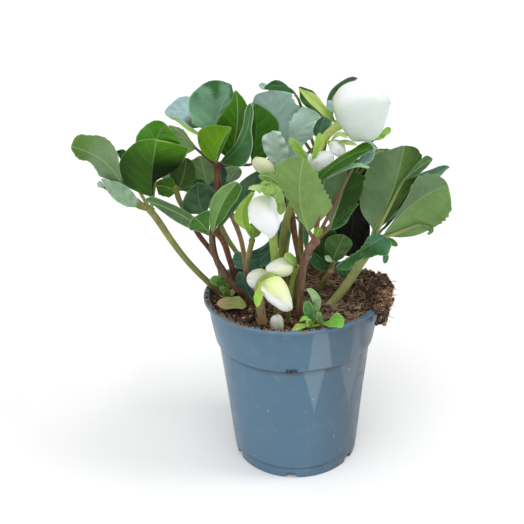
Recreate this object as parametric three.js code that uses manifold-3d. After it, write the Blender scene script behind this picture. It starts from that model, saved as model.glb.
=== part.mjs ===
// A hellebore in a 12 cm nursery pot: pot, root ball, rhizome crown, leaves and flowers.
// Millimetres, +Z up. The pot's axis is x = y = 0, its foot stands on z = 0, and -Y is the plant's front.
// Each leaf and flower is placed by its coordinates in that frame.
import * as THREE from 'three';
import { mergeVertices } from 'three/addons/utils/BufferGeometryUtils.js';
import Module from 'manifold-3d';

const wasm = await Module();
wasm.setup();

// ---- driving dimensions -------------------------------------------------------------------
const GAP = 0.3; // clearance between neighbouring pieces

const POT = {
  height: 120,
  lipRadius: 60,
  lipThickness: 2,
  lipInnerRadius: 56.5,
  collarTopRadius: 57.8,
  collarFootHeight: 88,
  collarFootRadius: 51.5,
  ledge: [1.6, 1.5],
  shoulderHeight: 106,
  shoulderInset: 1.4,
  footLineHeight: 8,
  footLineRadius: 44.2,
  footRadius: 43.4,
  wall: 1.1,
  floorUnderside: 3,
  floorTop: 4.8,
  footRingWidth: 2.6,
  padRadius: 9,
  sides: 30,
};
const DRAIN = {
  count: 6,
  firstAngle: -97,
  width: 9.5,
  height: 4,
  depth: 9,
  innerEnd: 38,
  holeRadius: 3.5,
  holeCircle: 33,
};
const SOIL = {
  level: 112.6,
  edgeLevel: 115.5,
  edgeInset: 2.7,
  wallInset: 0.5,
  rough: 0.9,
  heapRise: 6,
  heapPlace: [46, 14],
  heapSpread: 18,
};
const CROWN = { centre: [-12, 0, 80], radii: [34, 24, 12] };
const BLADE = { thickness: 0.8, stem: 1.2, across: 2, along: 3 };
const TWIG = 2.6; // diameter of the short stalk between a leaf's hub and one leaflet
const KNOB = 0.62; // radius of the knob at a stalk's end, as a share of the stalk's diameter
const PETAL_LAYER = 1.4; // how far one petal of the open bud lies inside the next

const COLOURS = {
  pot: [0x5e7d94, 0.4],
  soil: [0x4d3a2b, 0.95],
  crown: [0x6b4a33, 0.9],
  stalk: [0x7d5b45, 0.6],
  stem: [0x93a35a, 0.55],
  leaf: [0x4c7a34, 0.5],
  leafPale: [0x93b0a8, 0.55],
  bract: [0xa9cf5e, 0.5],
  tepal: [0xeef6f0, 0.45],
  youngLeaf: [0x6fae3f, 0.5],
  oldLeaf: [0xb59a63, 0.7],
};

// ---- small helpers ------------------------------------------------------------------------
const vec = (p) => new THREE.Vector3(...p);

function toSolid(geometry) {
  const bare = geometry.clone();
  bare.deleteAttribute('normal');
  bare.deleteAttribute('uv');
  const merged = mergeVertices(bare, 1e-4);
  return new wasm.Manifold(new wasm.Mesh({
    numProp: 3,
    vertProperties: new Float32Array(merged.attributes.position.array),
    triVerts: new Uint32Array(merged.index.array),
  }));
}

function toGeometry(solid) {
  const mesh = solid.getMesh();
  const geometry = new THREE.BufferGeometry();
  geometry.setAttribute('position', new THREE.BufferAttribute(mesh.vertProperties, 3));
  geometry.setIndex(new THREE.BufferAttribute(mesh.triVerts, 1));
  geometry.computeVertexNormals();
  return geometry;
}

const joined = (solids) => solids.reduce((whole, solid) => whole.add(solid));

// A bar along a smooth curve through the points; it has twice as many sides as curveSegments.
function bar(points, diameter, steps = points.length, curveSegments = 3) {
  const circle = new THREE.Shape().absarc(0, 0, diameter / 2, 0, 2 * Math.PI);
  const path = new THREE.CatmullRomCurve3(points.map(vec), false, 'centripetal');
  const extrusion = { steps, bevelEnabled: false, curveSegments, extrudePath: path };
  return toSolid(new THREE.ExtrudeGeometry(circle, extrusion));
}

function ball(centre, radii, wide = 6, high = 4) {
  const [a, b, c] = radii.length === 3 ? radii : [radii, radii, radii];
  const sphere = new THREE.SphereGeometry(1, wide, high).rotateX(Math.PI / 2);
  return toSolid(sphere.scale(a, b, c).translate(...centre));
}

// A body of revolution about the z axis, from [radius, height] pairs.
function turned(outline, sides = POT.sides) {
  const profile = outline.map(([r, z]) => new THREE.Vector2(r, z));
  return new THREE.LatheGeometry(profile, sides).rotateX(Math.PI / 2);
}

// ---- leaf blades --------------------------------------------------------------------------
// A leaflet is a thin plate bent around its midrib. The midrib is a parabola through base, mid
// and tip; face is the way the upper side looks; fold is how many degrees its left and right half
// are folded towards the upper side. wide is the width of each half: one number for an oval half,
// or a list of widths for a drawn one, at steps that crowd towards the base and the tip.
function blade([base, mid, tip, face, wide, fold, shape = {}]) {
  const { peak = 0.6, full = 0.6, cup = 0 } = shape;
  const rows = (wide.find(Array.isArray)?.length ?? BLADE.along + 1) - 1;
  const [a, m, c] = [base, mid, tip].map(vec);
  const control = m.clone().multiplyScalar(2).sub(a.clone().add(c).multiplyScalar(0.5));
  const midrib = new THREE.QuadraticBezierCurve3(a, control, c);
  const skew = Math.log(0.5) / Math.log(peak);
  const plate = new THREE.BoxGeometry(1, 1, 1, BLADE.across, rows, 1);
  const corner = plate.attributes.position;
  for (let i = 0; i < corner.count; i += 1) {
    const row = Math.round((corner.getY(i) + 0.5) * rows);
    const t = (1 - Math.cos(Math.PI * row / rows)) / 2;
    const s = corner.getX(i) * 2;
    const half = s < 0 ? 0 : 1;
    const oval = Math.max(Math.sin(Math.PI * t ** skew), 0) ** full;
    const along = midrib.getTangent(t);
    const up = vec(face).addScaledVector(along, -vec(face).dot(along)).normalize();
    const side = new THREE.Vector3().crossVectors(along, up);
    const drawn = Array.isArray(wide[half]) ? wide[half][row] : wide[half] * oval;
    const reach = Math.max(drawn, BLADE.stem / 2);
    const angle = THREE.MathUtils.degToRad(fold[half]);
    const out = reach * s;
    const lift = reach * (Math.abs(s) * Math.sin(angle) + cup * s * s) + corner.getZ(i) * BLADE.thickness;
    const point = midrib.getPoint(t).addScaledVector(side, out * Math.cos(angle)).addScaledVector(up, lift);
    corner.setXYZ(i, point.x, point.y, point.z);
  }
  return toSolid(plate);
}

// The blades of one leaf, joined at its hub by a knob and short twigs.
function foliage(hub, knob, blades) {
  const solids = [ball(hub, knob)];
  for (const leaflet of blades) {
    const base = leaflet[0];
    const reach = vec(base).distanceTo(vec(hub));
    if (reach > 1) {
      const past = vec(hub).lerp(vec(base), 1 + 1 / reach).toArray();
      solids.push(bar([hub, past], TWIG, 1, 2));
    }
    solids.push(blade(leaflet));
  }
  return joined(solids);
}

// ---- flower buds --------------------------------------------------------------------------
// One petal of a bud: a patch of a swelling body of revolution about the line from base to tip.
function petal(base, tip, radius, turn, spread, layer = 0) {
  const axis = vec(tip).sub(vec(base));
  const length = axis.length();
  axis.normalize();
  const side = new THREE.Vector3(0, 0, 1).cross(axis).normalize();
  const up = new THREE.Vector3().crossVectors(axis, side);
  const start = Math.max(-0.015 * layer, 0); // an inner petal starts where it clears the axis
  const plate = new THREE.BoxGeometry(1, 1, 1, 3, 4, 1);
  const corner = plate.attributes.position;
  for (let i = 0; i < corner.count; i += 1) {
    const t = start + (1 - start) * (corner.getY(i) + 0.5);
    const swell = Math.sin(Math.PI * (0.02 + 0.9 * t) ** 0.8) ** 0.8;
    const half = spread * (0.35 + 0.65 * Math.sin(Math.PI * Math.min(0.12 + 0.8 * t, 1)) ** 0.7);
    const angle = THREE.MathUtils.degToRad(turn + corner.getX(i) * 2 * half);
    const r = radius * swell + layer + corner.getZ(i) * BLADE.thickness;
    const point = vec(base).addScaledVector(axis, length * t);
    point.addScaledVector(side, r * Math.cos(angle)).addScaledVector(up, r * Math.sin(angle));
    corner.setXYZ(i, point.x, point.y, point.z);
  }
  return toSolid(plate);
}

// A closed bud: an egg-shaped body from its base to its pointed tip.
function bud(base, tip, radius) {
  const length = vec(base).distanceTo(vec(tip));
  const profile = [];
  const rings = 6;
  for (let i = 0; i <= rings; i += 1) {
    const t = i / rings;
    const r = radius * Math.sin(Math.PI * t ** 0.85) ** 0.7;
    profile.push(new THREE.Vector2(i % rings ? r : 0, t * length));
  }
  const body = new THREE.LatheGeometry(profile, 8);
  const aim = new THREE.Quaternion().setFromUnitVectors(
    new THREE.Vector3(0, 1, 0), vec(tip).sub(vec(base)).normalize());
  return toSolid(body.applyQuaternion(aim).translate(...base));
}

// ---- leaves -------------------------------------------------------------------------------
// stalk: its diameter and its route from the crown to the hub. Each blade is
// [base, mid, tip, way the upper side faces, half widths, folds, shape], as blade() takes it.
const LEAVES = [
  {
    name: 'far_left',
    stalk: [4.4, [[-36, 5, 84], [-43, 7, 103], [-51, 8, 117], [-58, 7, 126], [-70, 5, 142], [-79, 3, 158],
      [-86, 1, 172], [-90, 0, 179]]],
    blades: [
      [[-105, -3, 195], [-113, -9, 213.5], [-130, -18, 226], [0.29, 0.91, -0.29],
        [[0, 0.5, 1.5, 4, 9.5, 12.5, 9.5, 7, 0], [0, 2, 6, 11, 8, 5.5, 6, 3, 0]], [6, 6]],
      [[-97, -2, 182], [-107, -5, 190.5], [-117, -8, 203], [-0.28, -0.79, 0.54],
        [[0, 1, 3.5, 3.5, 1, 0], [0, 3.5, 7, 7.5, 3, 0]], [4, 14]],
      [[-115.5, -5, 196], [-118, -7, 199], [-120, -8, 200.5], [0.01, -0.77, 0.63],
        [2, 2], [5, 5]],
      [[-87.5, -3, 189], [-85, -10, 208], [-80, -14, 227.5], [0.1, 0.98, -0.15],
        [[0, 0, 1, 2.5, 13, 17, 18.5, 17.5, 0],
          [0, 22, 23.5, 24, 18.5, 13, 7, 2, 0]], [14, 10], { cup: 0.16 }],
      [[-83, 5, 210.5], [-84, 10, 221.5], [-77.5, 14, 231], [0.01, -0.77, 0.63],
        [[0, 6.5, 11, 7, 2, 0], [0, 13.5, 15, 16, 15.5, 0]], [8, 8]],
      [[-105, 2, 211], [-105, 4, 214.5], [-105, 5, 218], [0.01, -0.77, 0.63],
        [[0, 1, 2.5, 3.5, 0], [0, 1.5, 3.5, 2.5, 0]], [8, 8]],
    ],
  },
  {
    name: 'left_back',
    stalk: [3.6, [[-30, 15, 84], [-34, 12, 104], [-40, 8, 122], [-53, 6, 146], [-62, 7, 161], [-67, 8, 173],
      [-72, 8, 182], [-74, 8, 191]]],
    blades: [
      [[-74, 7, 189], [-80, 7, 192.5], [-86, 6, 193.5], [0.01, 0.99, -0.1],
        [[0, 1.5, 6.5, 5, 3, 0], [0, 5.5, 6.5, 6.5, 5.5, 0]], [5, 5]],
      [[-72.5, 8, 189.5], [-68.5, 12, 199], [-66.5, 14, 209], [-0.09, 0.98, -0.19],
        [[0, 2.5, 5.5, 5, 2, 0], [0, 4, 7.5, 5.5, 2, 0]], [8, 12]],
      [[-72, 9, 190], [-63.5, 11, 191], [-55.5, 12, 193.5], [0.01, 0.98, -0.2],
        [3.5, 3.5], [5, 5]],
    ],
  },
  {
    name: 'centre_left',
    stalk: [4.4, [[-26, -6, 84], [-27, -6, 104], [-30, -6, 116], [-39, -7, 128], [-47, -8, 141],
      [-51, -8, 154], [-51, -8, 165], [-47, -6, 180], [-46, -4, 192], [-46, -4, 208]]],
    blades: [
      [[-46, -5, 210], [-47.5, -14, 222], [-48.5, -18, 232], [0.1, 0.92, -0.39],
        [[0, 1.5, 6, 11, 5, 0], [0, 6, 16, 8, 4.5, 0]], [10, 16]],
      [[-43.5, -5, 210], [-29, -13, 225.5], [-24, -14, 247], [-0.32, -0.8, 0.5],
        [[0, 1.5, 3, 3.5, 3.5, 3.5, 3.5, 2, 0], [0, 2, 6.5, 11.5, 8, 3, 2.5, 1.5, 0]], [4, 4]],
      [[-38, -2, 212], [-32.5, -3, 233], [-32.5, 0, 252.5], [-0.1, 0.95, -0.29],
        [[0, 0.5, 2, 3.5, 5.5, 7, 4.5, 1.5, 0], [0, 7, 10, 13, 12, 8.5, 3.5, 1.5, 0]], [14, 10]],
      [[-47.5, 1, 228], [-43, 7, 240], [-35.5, 13, 254], [0.15, -0.85, 0.51],
        [[0, 12.5, 14.5, 18, 19.5, 17.5, 14, 8, 0], [0, 1, 2.5, 3, 4, 5, 4.5, 1.5, 0]], [5, 5]],
      [[-24.5, 1, 207], [-21.5, 6, 224], [-21.5, 12, 242.5], [0.2, -0.82, 0.54],
        [[0, 0.5, 2, 3, 3.5, 3.5, 3, 1, 0], [0, 4, 8, 11.5, 14, 14, 9, 3, 0]], [12, 8]],
      [[-54.5, 12, 229.5], [-66, 28, 235.5], [-80.5, 36, 234.5], [0.01, -0.77, 0.63],
        [[0, 8, 8.5, 9, 8.5, 7.5, 5.5, 2.5, 0], [0, 0.5, 2.5, 7, 11, 10, 5.5, 2.5, 0]], [5, 5]],
      [[-54.5, -3, 226], [-65.5, 8, 231.5], [-77.5, 16, 236.5], [0.01, -0.77, 0.63],
        [[0, 1.5, 2.5, 1, 0.5, 0], [0, 1, 1, 2, 0.5, 0]], [25, 25]],
      [[-59.5, 10, 216], [-66.5, 16, 222.5], [-76.5, 20, 229], [0.01, 0.98, -0.2],
        [[0, 0.5, 1, 2.5, 1, 0], [0, 8, 8, 6, 2.5, 0]], [5, 5]],
    ],
  },
  {
    name: 'low_left',
    stalk: [4, [[-25, 5, 84], [-31, 5, 104], [-38, 4, 117], [-39, 0, 131], [-41, -10, 148], [-44, -22, 166],
      [-47, -27, 173]]],
    blades: [
      [[-52.5, -26, 171.5], [-70, -22, 184], [-90, -18, 191.5], [0.01, 0.99, -0.1],
        [[0, 2.5, 3.5, 3.5, 3.5, 0], [0, 2.5, 5.5, 4.5, 1, 0]], [6, 10]],
      [[-51.5, -27, 172.5], [-55.5, -34, 181.5], [-59.5, -37, 186.5], [0.1, 0.95, -0.29],
        [[0, 1, 4.5, 8.5, 1, 0], [0, 3, 7.5, 7.5, 5, 0]], [8, 8]],
      [[-49.5, -27, 172], [-42.5, -38, 193.5], [-32.5, -42, 208], [-0.14, 0.95, -0.28],
        [[0, 0.5, 2.5, 5, 6, 6.5, 5.5, 4, 0],
          [0, 1, 3, 5, 6.5, 5.5, 3.5, 1.5, 0]], [10, 10], { cup: 0.1 }],
      [[-48, -26, 172], [-32, -20, 188.5], [-13.5, -12, 204.5], [-0.19, -0.86, 0.47],
        [[0, 1.5, 4, 9, 6.5, 0], [0, 0, 0.5, 1.5, 1.5, 0]], [8, 8]],
      [[-53.5, -22, 181.5], [-57.5, -16, 190], [-57.5, -12, 200], [0, -0.86, 0.52],
        [[0, 2, 10.5, 8, 2.5, 0], [0, 2.5, 7, 10, 8, 0]], [6, 6]],
    ],
  },
  {
    name: 'behind_left',
    stalk: [3.6, [[-22, 21, 84], [-30, 24, 104], [-33, 22, 141], [-36, 20, 157], [-45, 20, 183]]],
    blades: [
      [[-55, 14, 190.5], [-56, 17, 198.5], [-58.5, 20, 208.5], [-0.1, 0.95, -0.29],
        [[0, 1, 2.5, 5, 3, 0], [0, 2.5, 5.5, 6.5, 4.5, 0]], [8, 8]],
      [[-42, 18, 190], [-37.5, 18, 195], [-32.5, 18, 200], [0, 0.96, -0.29],
        [[0, 1, 3, 4, 3, 0], [0, 1, 3, 3, 1, 0]], [8, 8]],
    ],
  },
  {
    name: 'lime_low',
    stalk: [3.4, [[-18, 12, 84], [-28, 12, 104], [-31, 2, 131], [-29, -10, 148], [-26, -20, 164]]],
    blades: [
      [[-26, -21, 166.5], [-31, -29, 184.5], [-23.5, -36, 199.5], [0.36, 0.77, -0.53],
        [[0, 1, 4, 4, 4.5, 3.5, 2, 1, 0], [0, 0, 0, 7.5, 5, 3.5, 2, 1.5, 0]], [12, 8]],
      [[-26, -21, 165.5], [-25, -23, 170.5], [-25.5, -24, 177], [0, 0.92, -0.38],
        [[0, 1.5, 5, 2, 0], [0, 2, 4, 3, 0]], [8, 8]],
    ],
  },
  {
    name: 'centre',
    stalk: [5, [[2, -17, 84], [2, -30, 104], [2, -34, 114], [3, -34, 136], [5, -34, 152], [8, -35, 162],
      [12, -35, 168]]],
    blades: [
      [[8, -36, 174.5], [2.5, -41, 197.5], [5.5, -35, 219], [-0.1, 0.95, -0.29],
        [[0, 20, 19.5, 18, 15.5, 12.5, 9, 3.5, 0],
          [0, 0.5, 1.5, 3, 6.5, 12, 13.5, 7, 0]], [8, 8], { cup: 0.06 }],
      [[21.5, -32, 177.5], [28, -26, 192.5], [32, -20, 207], [-0.09, 0.98, -0.19],
        [[0, 1.5, 3.5, 6, 12.5, 14, 13.5, 14, 0], [0, 2, 6.5, 10.5, 13, 12.5, 8, 2.5, 0]], [22, 24]],
      [[14, -31, 203.5], [29, -27, 215], [47.5, -22, 219.5], [-0.07, -0.59, 0.8],
        [[0, 3.5, 3, 3.5, 5.5, 0], [0, 2, 5.5, 5, 1.5, 0]], [6, 10]],
      [[17.5, -31, 204.5], [32.5, -27, 211], [45, -22, 208.5], [0.1, -0.65, 0.75],
        [[0, 0, 0, 1.5, 1, 0], [0, 1, 2, 1.5, 1.5, 0]], [10, 5]],
      [[37, -22, 211], [43, -21, 214], [47.5, -20, 218], [0.01, -0.71, 0.7],
        [[0, 1, 2.5, 2, 1, 0], [0, 1, 3.5, 3.5, 1.5, 0]], [5, 5]],
      [[-6, -34, 198], [-12.5, -40, 208.5], [-20.5, -44, 211.5], [0.1, 0.87, -0.47],
        [[0, 0.5, 1.5, 3, 1.5, 0], [0, 1, 2, 2, 2.5, 0]], [10, 10]],
      [[12, -35, 168], [13, -36, 173], [15, -37, 177], [0, 0.92, -0.38],
        [2.5, 2.5], [10, 10]],
      [[20.5, -30, 173.5], [31, -20, 178], [40.5, -14, 183.5], [-0.09, -0.77, 0.63],
        [[0, 1, 4, 5, 2.5, 0], [0, 3, 4.5, 2, 0.5, 0]], [10, 12]],
    ],
  },
  {
    name: 'right',
    stalk: [6.2, [[11, -8, 84], [13, -10, 100], [20, -10, 109], [28, -8, 117], [36, -6, 127], [42, -5, 137],
      [48, -3, 146], [51, -2, 153]]],
    blades: [
      [[52, -2, 160.5], [63.5, 2, 184], [69.5, -2, 216], [-0.1, 0.95, -0.29],
        [[0, 1, 4, 6.5, 9.5, 12.5, 13.5, 9.5, 0], [0, 2.5, 12.5, 17.5, 20.5, 19, 17, 7, 0]], [8, 16]],
      [[71, 2, 193], [79, 0, 201], [87, -3, 207.5], [-0.1, 0.95, -0.29],
        [[0, 1.5, 3.5, 3, 1.5, 0], [0, 0.5, 2, 3, 3.5, 0]], [6, 6]],
      [[59.5, -3, 158.5], [76, -7, 180.5], [95, -13, 193], [-0.14, 0.95, -0.28],
        [[0, 9.5, 17, 20.5, 22.5, 20.5, 17.5, 12, 0], [0, 1, 1, 2.5, 6, 11, 9.5, 5.5, 0]], [8, 8]],
      [[58, 3, 159], [70.5, 7, 173], [82, 9, 194], [-0.28, -0.84, 0.46],
        [[0, 0.5, 2, 1.5, 1, 0], [0, 1, 1, 0, 0, 0]], [5, 5]],
      [[52, -2, 160.5], [78, 6, 178.5], [100.5, 8, 199.5], [0.01, -0.71, 0.7],
        [1.5, 1.5], [20, 20]],
      [[81, -7, 166], [88, -7, 163], [85.5, -9, 160], [0.01, 0.99, -0.1],
        [1.5, 1.5], [10, 10]],
      [[59, -4, 157.5], [42.5, -20, 155.5], [25, -30, 148.5], [0.1, -0.59, 0.8],
        [[0, 6, 10, 12, 7, 5, 6, 3.5, 0], [0, 5, 5.5, 4, 1, 0, 0, 0.5, 0]], [8, 8]],
      [[59, -12, 153], [58.5, -14, 148], [57.5, -16, 144], [0.2, -0.76, 0.62],
        [2, 2], [10, 10]],
      [[59.5, 0, 156.5], [64.5, 1, 152], [69, 2, 149], [0.01, -0.65, 0.76],
        [2.5, 2.5], [8, 8]],
    ],
  },
  {
    name: 'small_right',
    stalk: [3.6, [[12, 5, 84], [13, 11, 104], [18, 12, 114], [22, 8, 123], [25, 2, 132]]],
    blades: [
      [[25.5, 2, 137], [29, 0, 148], [33.5, 0, 158], [-0.1, 0.95, -0.29],
        [[0, 2.5, 6.5, 8, 7, 0], [0, 1.5, 7, 9, 5, 0]], [6, 8]],
      [[27, -1, 140], [23.5, -4, 143], [21, -4, 145.5], [0.01, -0.71, 0.7],
        [2, 2], [8, 8]],
      [[23.5, 2, 132], [17, -4, 140.5], [12, -6, 150], [0.01, -0.65, 0.76],
        [[0, 1, 4, 5.5, 2, 0], [0, 5.5, 5, 3, 1, 0]], [10, 10]],
      [[25.5, 3, 133], [32, 3, 131.5], [34.5, 1, 126.5], [0.01, -0.65, 0.76],
        [3, 3], [10, 10]],
      [[24.5, 4, 133.5], [20.5, 7, 147.5], [20, 9, 161.5], [0, -0.88, 0.47],
        [[0, 1, 5, 8.5, 7.5, 6, 4.5, 1.5, 0], [0, 1, 4, 7, 10, 10, 9.5, 6, 0]], [6, 6]],
    ],
  },
  {
    name: 'top_pale',
    stalk: [4, [[2, -6, 84], [0, -10, 106], [1, -16, 126], [3, -18, 148], [1, -16, 162], [0, -8, 173],
      [-2, 0, 186], [-2, 8, 199]]],
    blades: [
      [[0, 8, 200.5], [-8, 16, 224.5], [-10.5, 20, 248.5], [0, -0.88, 0.47],
        [[0, 0, 1, 2, 4.5, 9, 12.5, 9, 0], [0, 2.5, 8.5, 12.5, 16, 17, 13, 11, 0]], [6, 6]],
      [[0, 5, 202.5], [4, 7, 222.5], [18.5, 9, 234.5], [0.1, -0.88, 0.47],
        [[0, 0, 1, 3, 5.5, 8.5, 8.5, 2.5, 0], [0, 1.5, 5, 5.5, 7, 8, 3, 1.5, 0]], [6, 6]],
      [[-6, 0, 201.5], [-10, -5, 217], [-11.5, -7, 229], [-0.1, -0.87, 0.47],
        [[0, 1, 3, 5, 6.5, 7, 6, 1, 0], [0, 1, 3, 7.5, 8, 7, 5.5, 5, 0]], [6, 10]],
      [[-0.5, 0, 202.5], [5.5, -3, 211], [10.5, -4, 213], [0.01, -0.83, 0.56],
        [[0, 2, 6, 5, 1, 0], [0, 1, 3.5, 5, 4.5, 0]], [8, 8]],
      [[18.5, 10, 217.5], [19.5, 11, 226], [22.5, 11, 233.5], [0.1, -0.88, 0.47],
        [[0, 1.5, 5, 4, 2, 0], [0, 1.5, 4, 5, 5, 0]], [5, 5]],
    ],
  },
  {
    name: 'top_back',
    stalk: [4, [[4, 13, 84], [7, 28, 128], [9, 30, 165], [21, 30, 197]]],
    blades: [
      [[5.5, 24, 243.5], [-2.5, 30, 249.5], [-15, 32, 248], [0.01, -0.71, 0.7],
        [[0, 1, 4, 5.5, 2.5, 0], [0, 0, 0.5, 3.5, 2.5, 0]], [8, 8]],
      [[-12, 33, 247.5], [-15, 34, 249], [-18.5, 34, 250], [0.01, -0.77, 0.63],
        [2.5, 2.5], [8, 8]],
      [[21, 14, 232], [12.5, 17, 240.5], [6.5, 19, 250.5], [0, -0.88, 0.47],
        [[0, 0.5, 2.5, 3.5, 1, 0], [0, 2.5, 6.5, 6.5, 3, 0]], [8, 8]],
      [[26, 20, 230], [29.5, 25, 244.5], [44, 28, 253], [-0.1, -0.87, 0.47],
        [[0, 1, 3, 3, 2.5, 0], [0, 2, 2, 1.5, 1, 0]], [10, 10]],
      [[27, 17, 232.5], [26.5, 18, 237], [24.5, 18, 241.5], [0, -0.88, 0.47],
        [3, 3], [6, 6]],
    ],
  },
  {
    name: 'behind_bud',
    stalk: [3.6, [[12, 16, 84], [20, 22, 106], [34, 26, 140], [40, 26, 170], [41, 26, 186]]],
    blades: [
      [[53.5, 22, 214], [58.5, 22, 218.5], [65.5, 22, 221.5], [0.01, -0.77, 0.63],
        [[0, 0, 0.5, 1.5, 2, 0], [0, 1, 3.5, 3.5, 2.5, 0]], [10, 10]],
      [[41.5, 18, 208], [50, 19, 211.5], [57, 19, 209], [0.01, -0.77, 0.63],
        [[0, 1, 2.5, 3, 1, 0], [0, 1.5, 3.5, 3.5, 2.5, 0]], [8, 8]],
      [[58, 8, 198.5], [55.5, 10, 205], [59, 11, 210.5], [0, 0.92, -0.38],
        [[0, 3.5, 6.5, 6.5, 6.5, 0], [0, 0.5, 2.5, 3.5, 1.5, 0]], [6, 6]],
      [[52.5, 14, 203.5], [57.5, 15, 209], [64, 15, 209.5], [0.01, -0.71, 0.7],
        [[0, 0.5, 2, 1, 0, 0], [0, 1, 3, 4.5, 3.5, 0]], [8, 8]],
      [[42.5, 21, 184.5], [41.5, 17, 166.5], [39, 11, 138.5], [0, -0.92, 0.38],
        [[0, 0.5, 2.5, 6, 9.5, 12, 11.5, 8, 0], [0, 1, 3.5, 8, 10, 12.5, 12.5, 8.5, 0]], [5, 5]],
      [[42.5, 26, 180.5], [45, 26, 190], [51.5, 24, 202], [0, -0.88, 0.47],
        [[0, 2, 6.5, 8, 4.5, 0], [0, 6.5, 8, 9, 6.5, 0]], [5, 5]],
    ],
  },
  {
    name: 'back_left',
    stalk: [4, [[-14, 22, 84], [-20, 32, 106], [-44, 46, 140], [-56, 52, 166]]],
    blades: [
      [[-56, 52, 166], [-88, 58, 188], [-114, 52, 203], [-0.2, -0.2, 1], [12, 12], [12, 12]],
      [[-56, 52, 166], [-70, 76, 184], [-80, 92, 186], [-0.2, 0.5, 0.8], [14, 14], [12, 12]],
      [[-56, 52, 166], [-46, 76, 182], [-42, 94, 180], [0, 0.4, 0.9], [13, 13], [12, 12]],
      [[-56, 52, 166], [-52, 42, 184], [-52, 38, 200], [0, -0.9, 0.4], [11, 11], [12, 12]],
    ],
  },
  {
    name: 'back_middle',
    stalk: [4, [[-4, 22, 84], [-4, 34, 106], [-2, 52, 130], [2, 62, 152]]],
    blades: [
      [[2, 62, 152], [-8, 84, 166], [-14, 102, 162], [-0.1, 0.2, 1], [12, 12], [12, 12]],
      [[2, 62, 152], [12, 86, 168], [20, 104, 164], [0.1, 0.2, 1], [13, 13], [12, 12]],
      [[2, 62, 152], [-4, 58, 178], [-8, 56, 200], [0, -1, 0.1], [13, 13], [12, 12]],
      [[2, 62, 152], [22, 66, 172], [34, 72, 184], [0.2, -0.6, 0.8], [12, 12], [12, 12]],
      [[2, 61, 151.5], [-3.5, 56, 144], [-6, 52, 131], [0, -0.88, 0.47],
        [[0, 1, 3, 6, 5, 0], [0, 0.5, 3.5, 3.5, 2, 0]], [6, 6]],
      [[3, 60, 151.5], [10.5, 54, 146], [12, 48, 129.5], [0, -0.88, 0.47],
        [2.5, 2.5], [6, 6]],
      [[0.5, 60, 151], [-8, 48, 138], [-25.5, 40, 123], [0, -0.88, 0.47],
        [[0, 0, 1, 4.5, 6, 0], [0, 1, 3, 4, 5, 0]], [6, 6]],
      [[1.5, 60, 151], [-13, 46, 129.5], [-41.5, 36, 127.5], [0, -0.88, 0.47],
        [[0, 0, 0, 0, 0, 6.5, 6.5, 4, 0], [0, 1.5, 5, 7.5, 7.5, 7, 6.5, 7, 0]], [6, 6]],
    ],
  },
  {
    name: 'back_right',
    stalk: [4, [[6, 22, 84], [16, 34, 106], [36, 42, 132], [52, 46, 156]]],
    blades: [
      [[52, 46, 156], [84, 46, 176], [110, 40, 190], [0.2, -0.3, 0.9], [6, 6], [12, 12]],
      [[52, 46, 156], [74, 62, 174], [92, 74, 176], [0.2, 0.1, 1], [13, 13], [12, 12]],
      [[52, 46, 156], [54, 70, 178], [54, 86, 184], [0, 0.2, 1], [13, 13], [12, 12]],
      [[52, 46, 156], [48, 36, 176], [44, 34, 184], [0, -1, 0.3], [8, 8], [12, 12]],
      [[52, 46, 156], [78, 30, 160], [95, 20, 151], [0.2, -0.2, 1], [5, 5], [12, 12]],
    ],
  },
];

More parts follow.
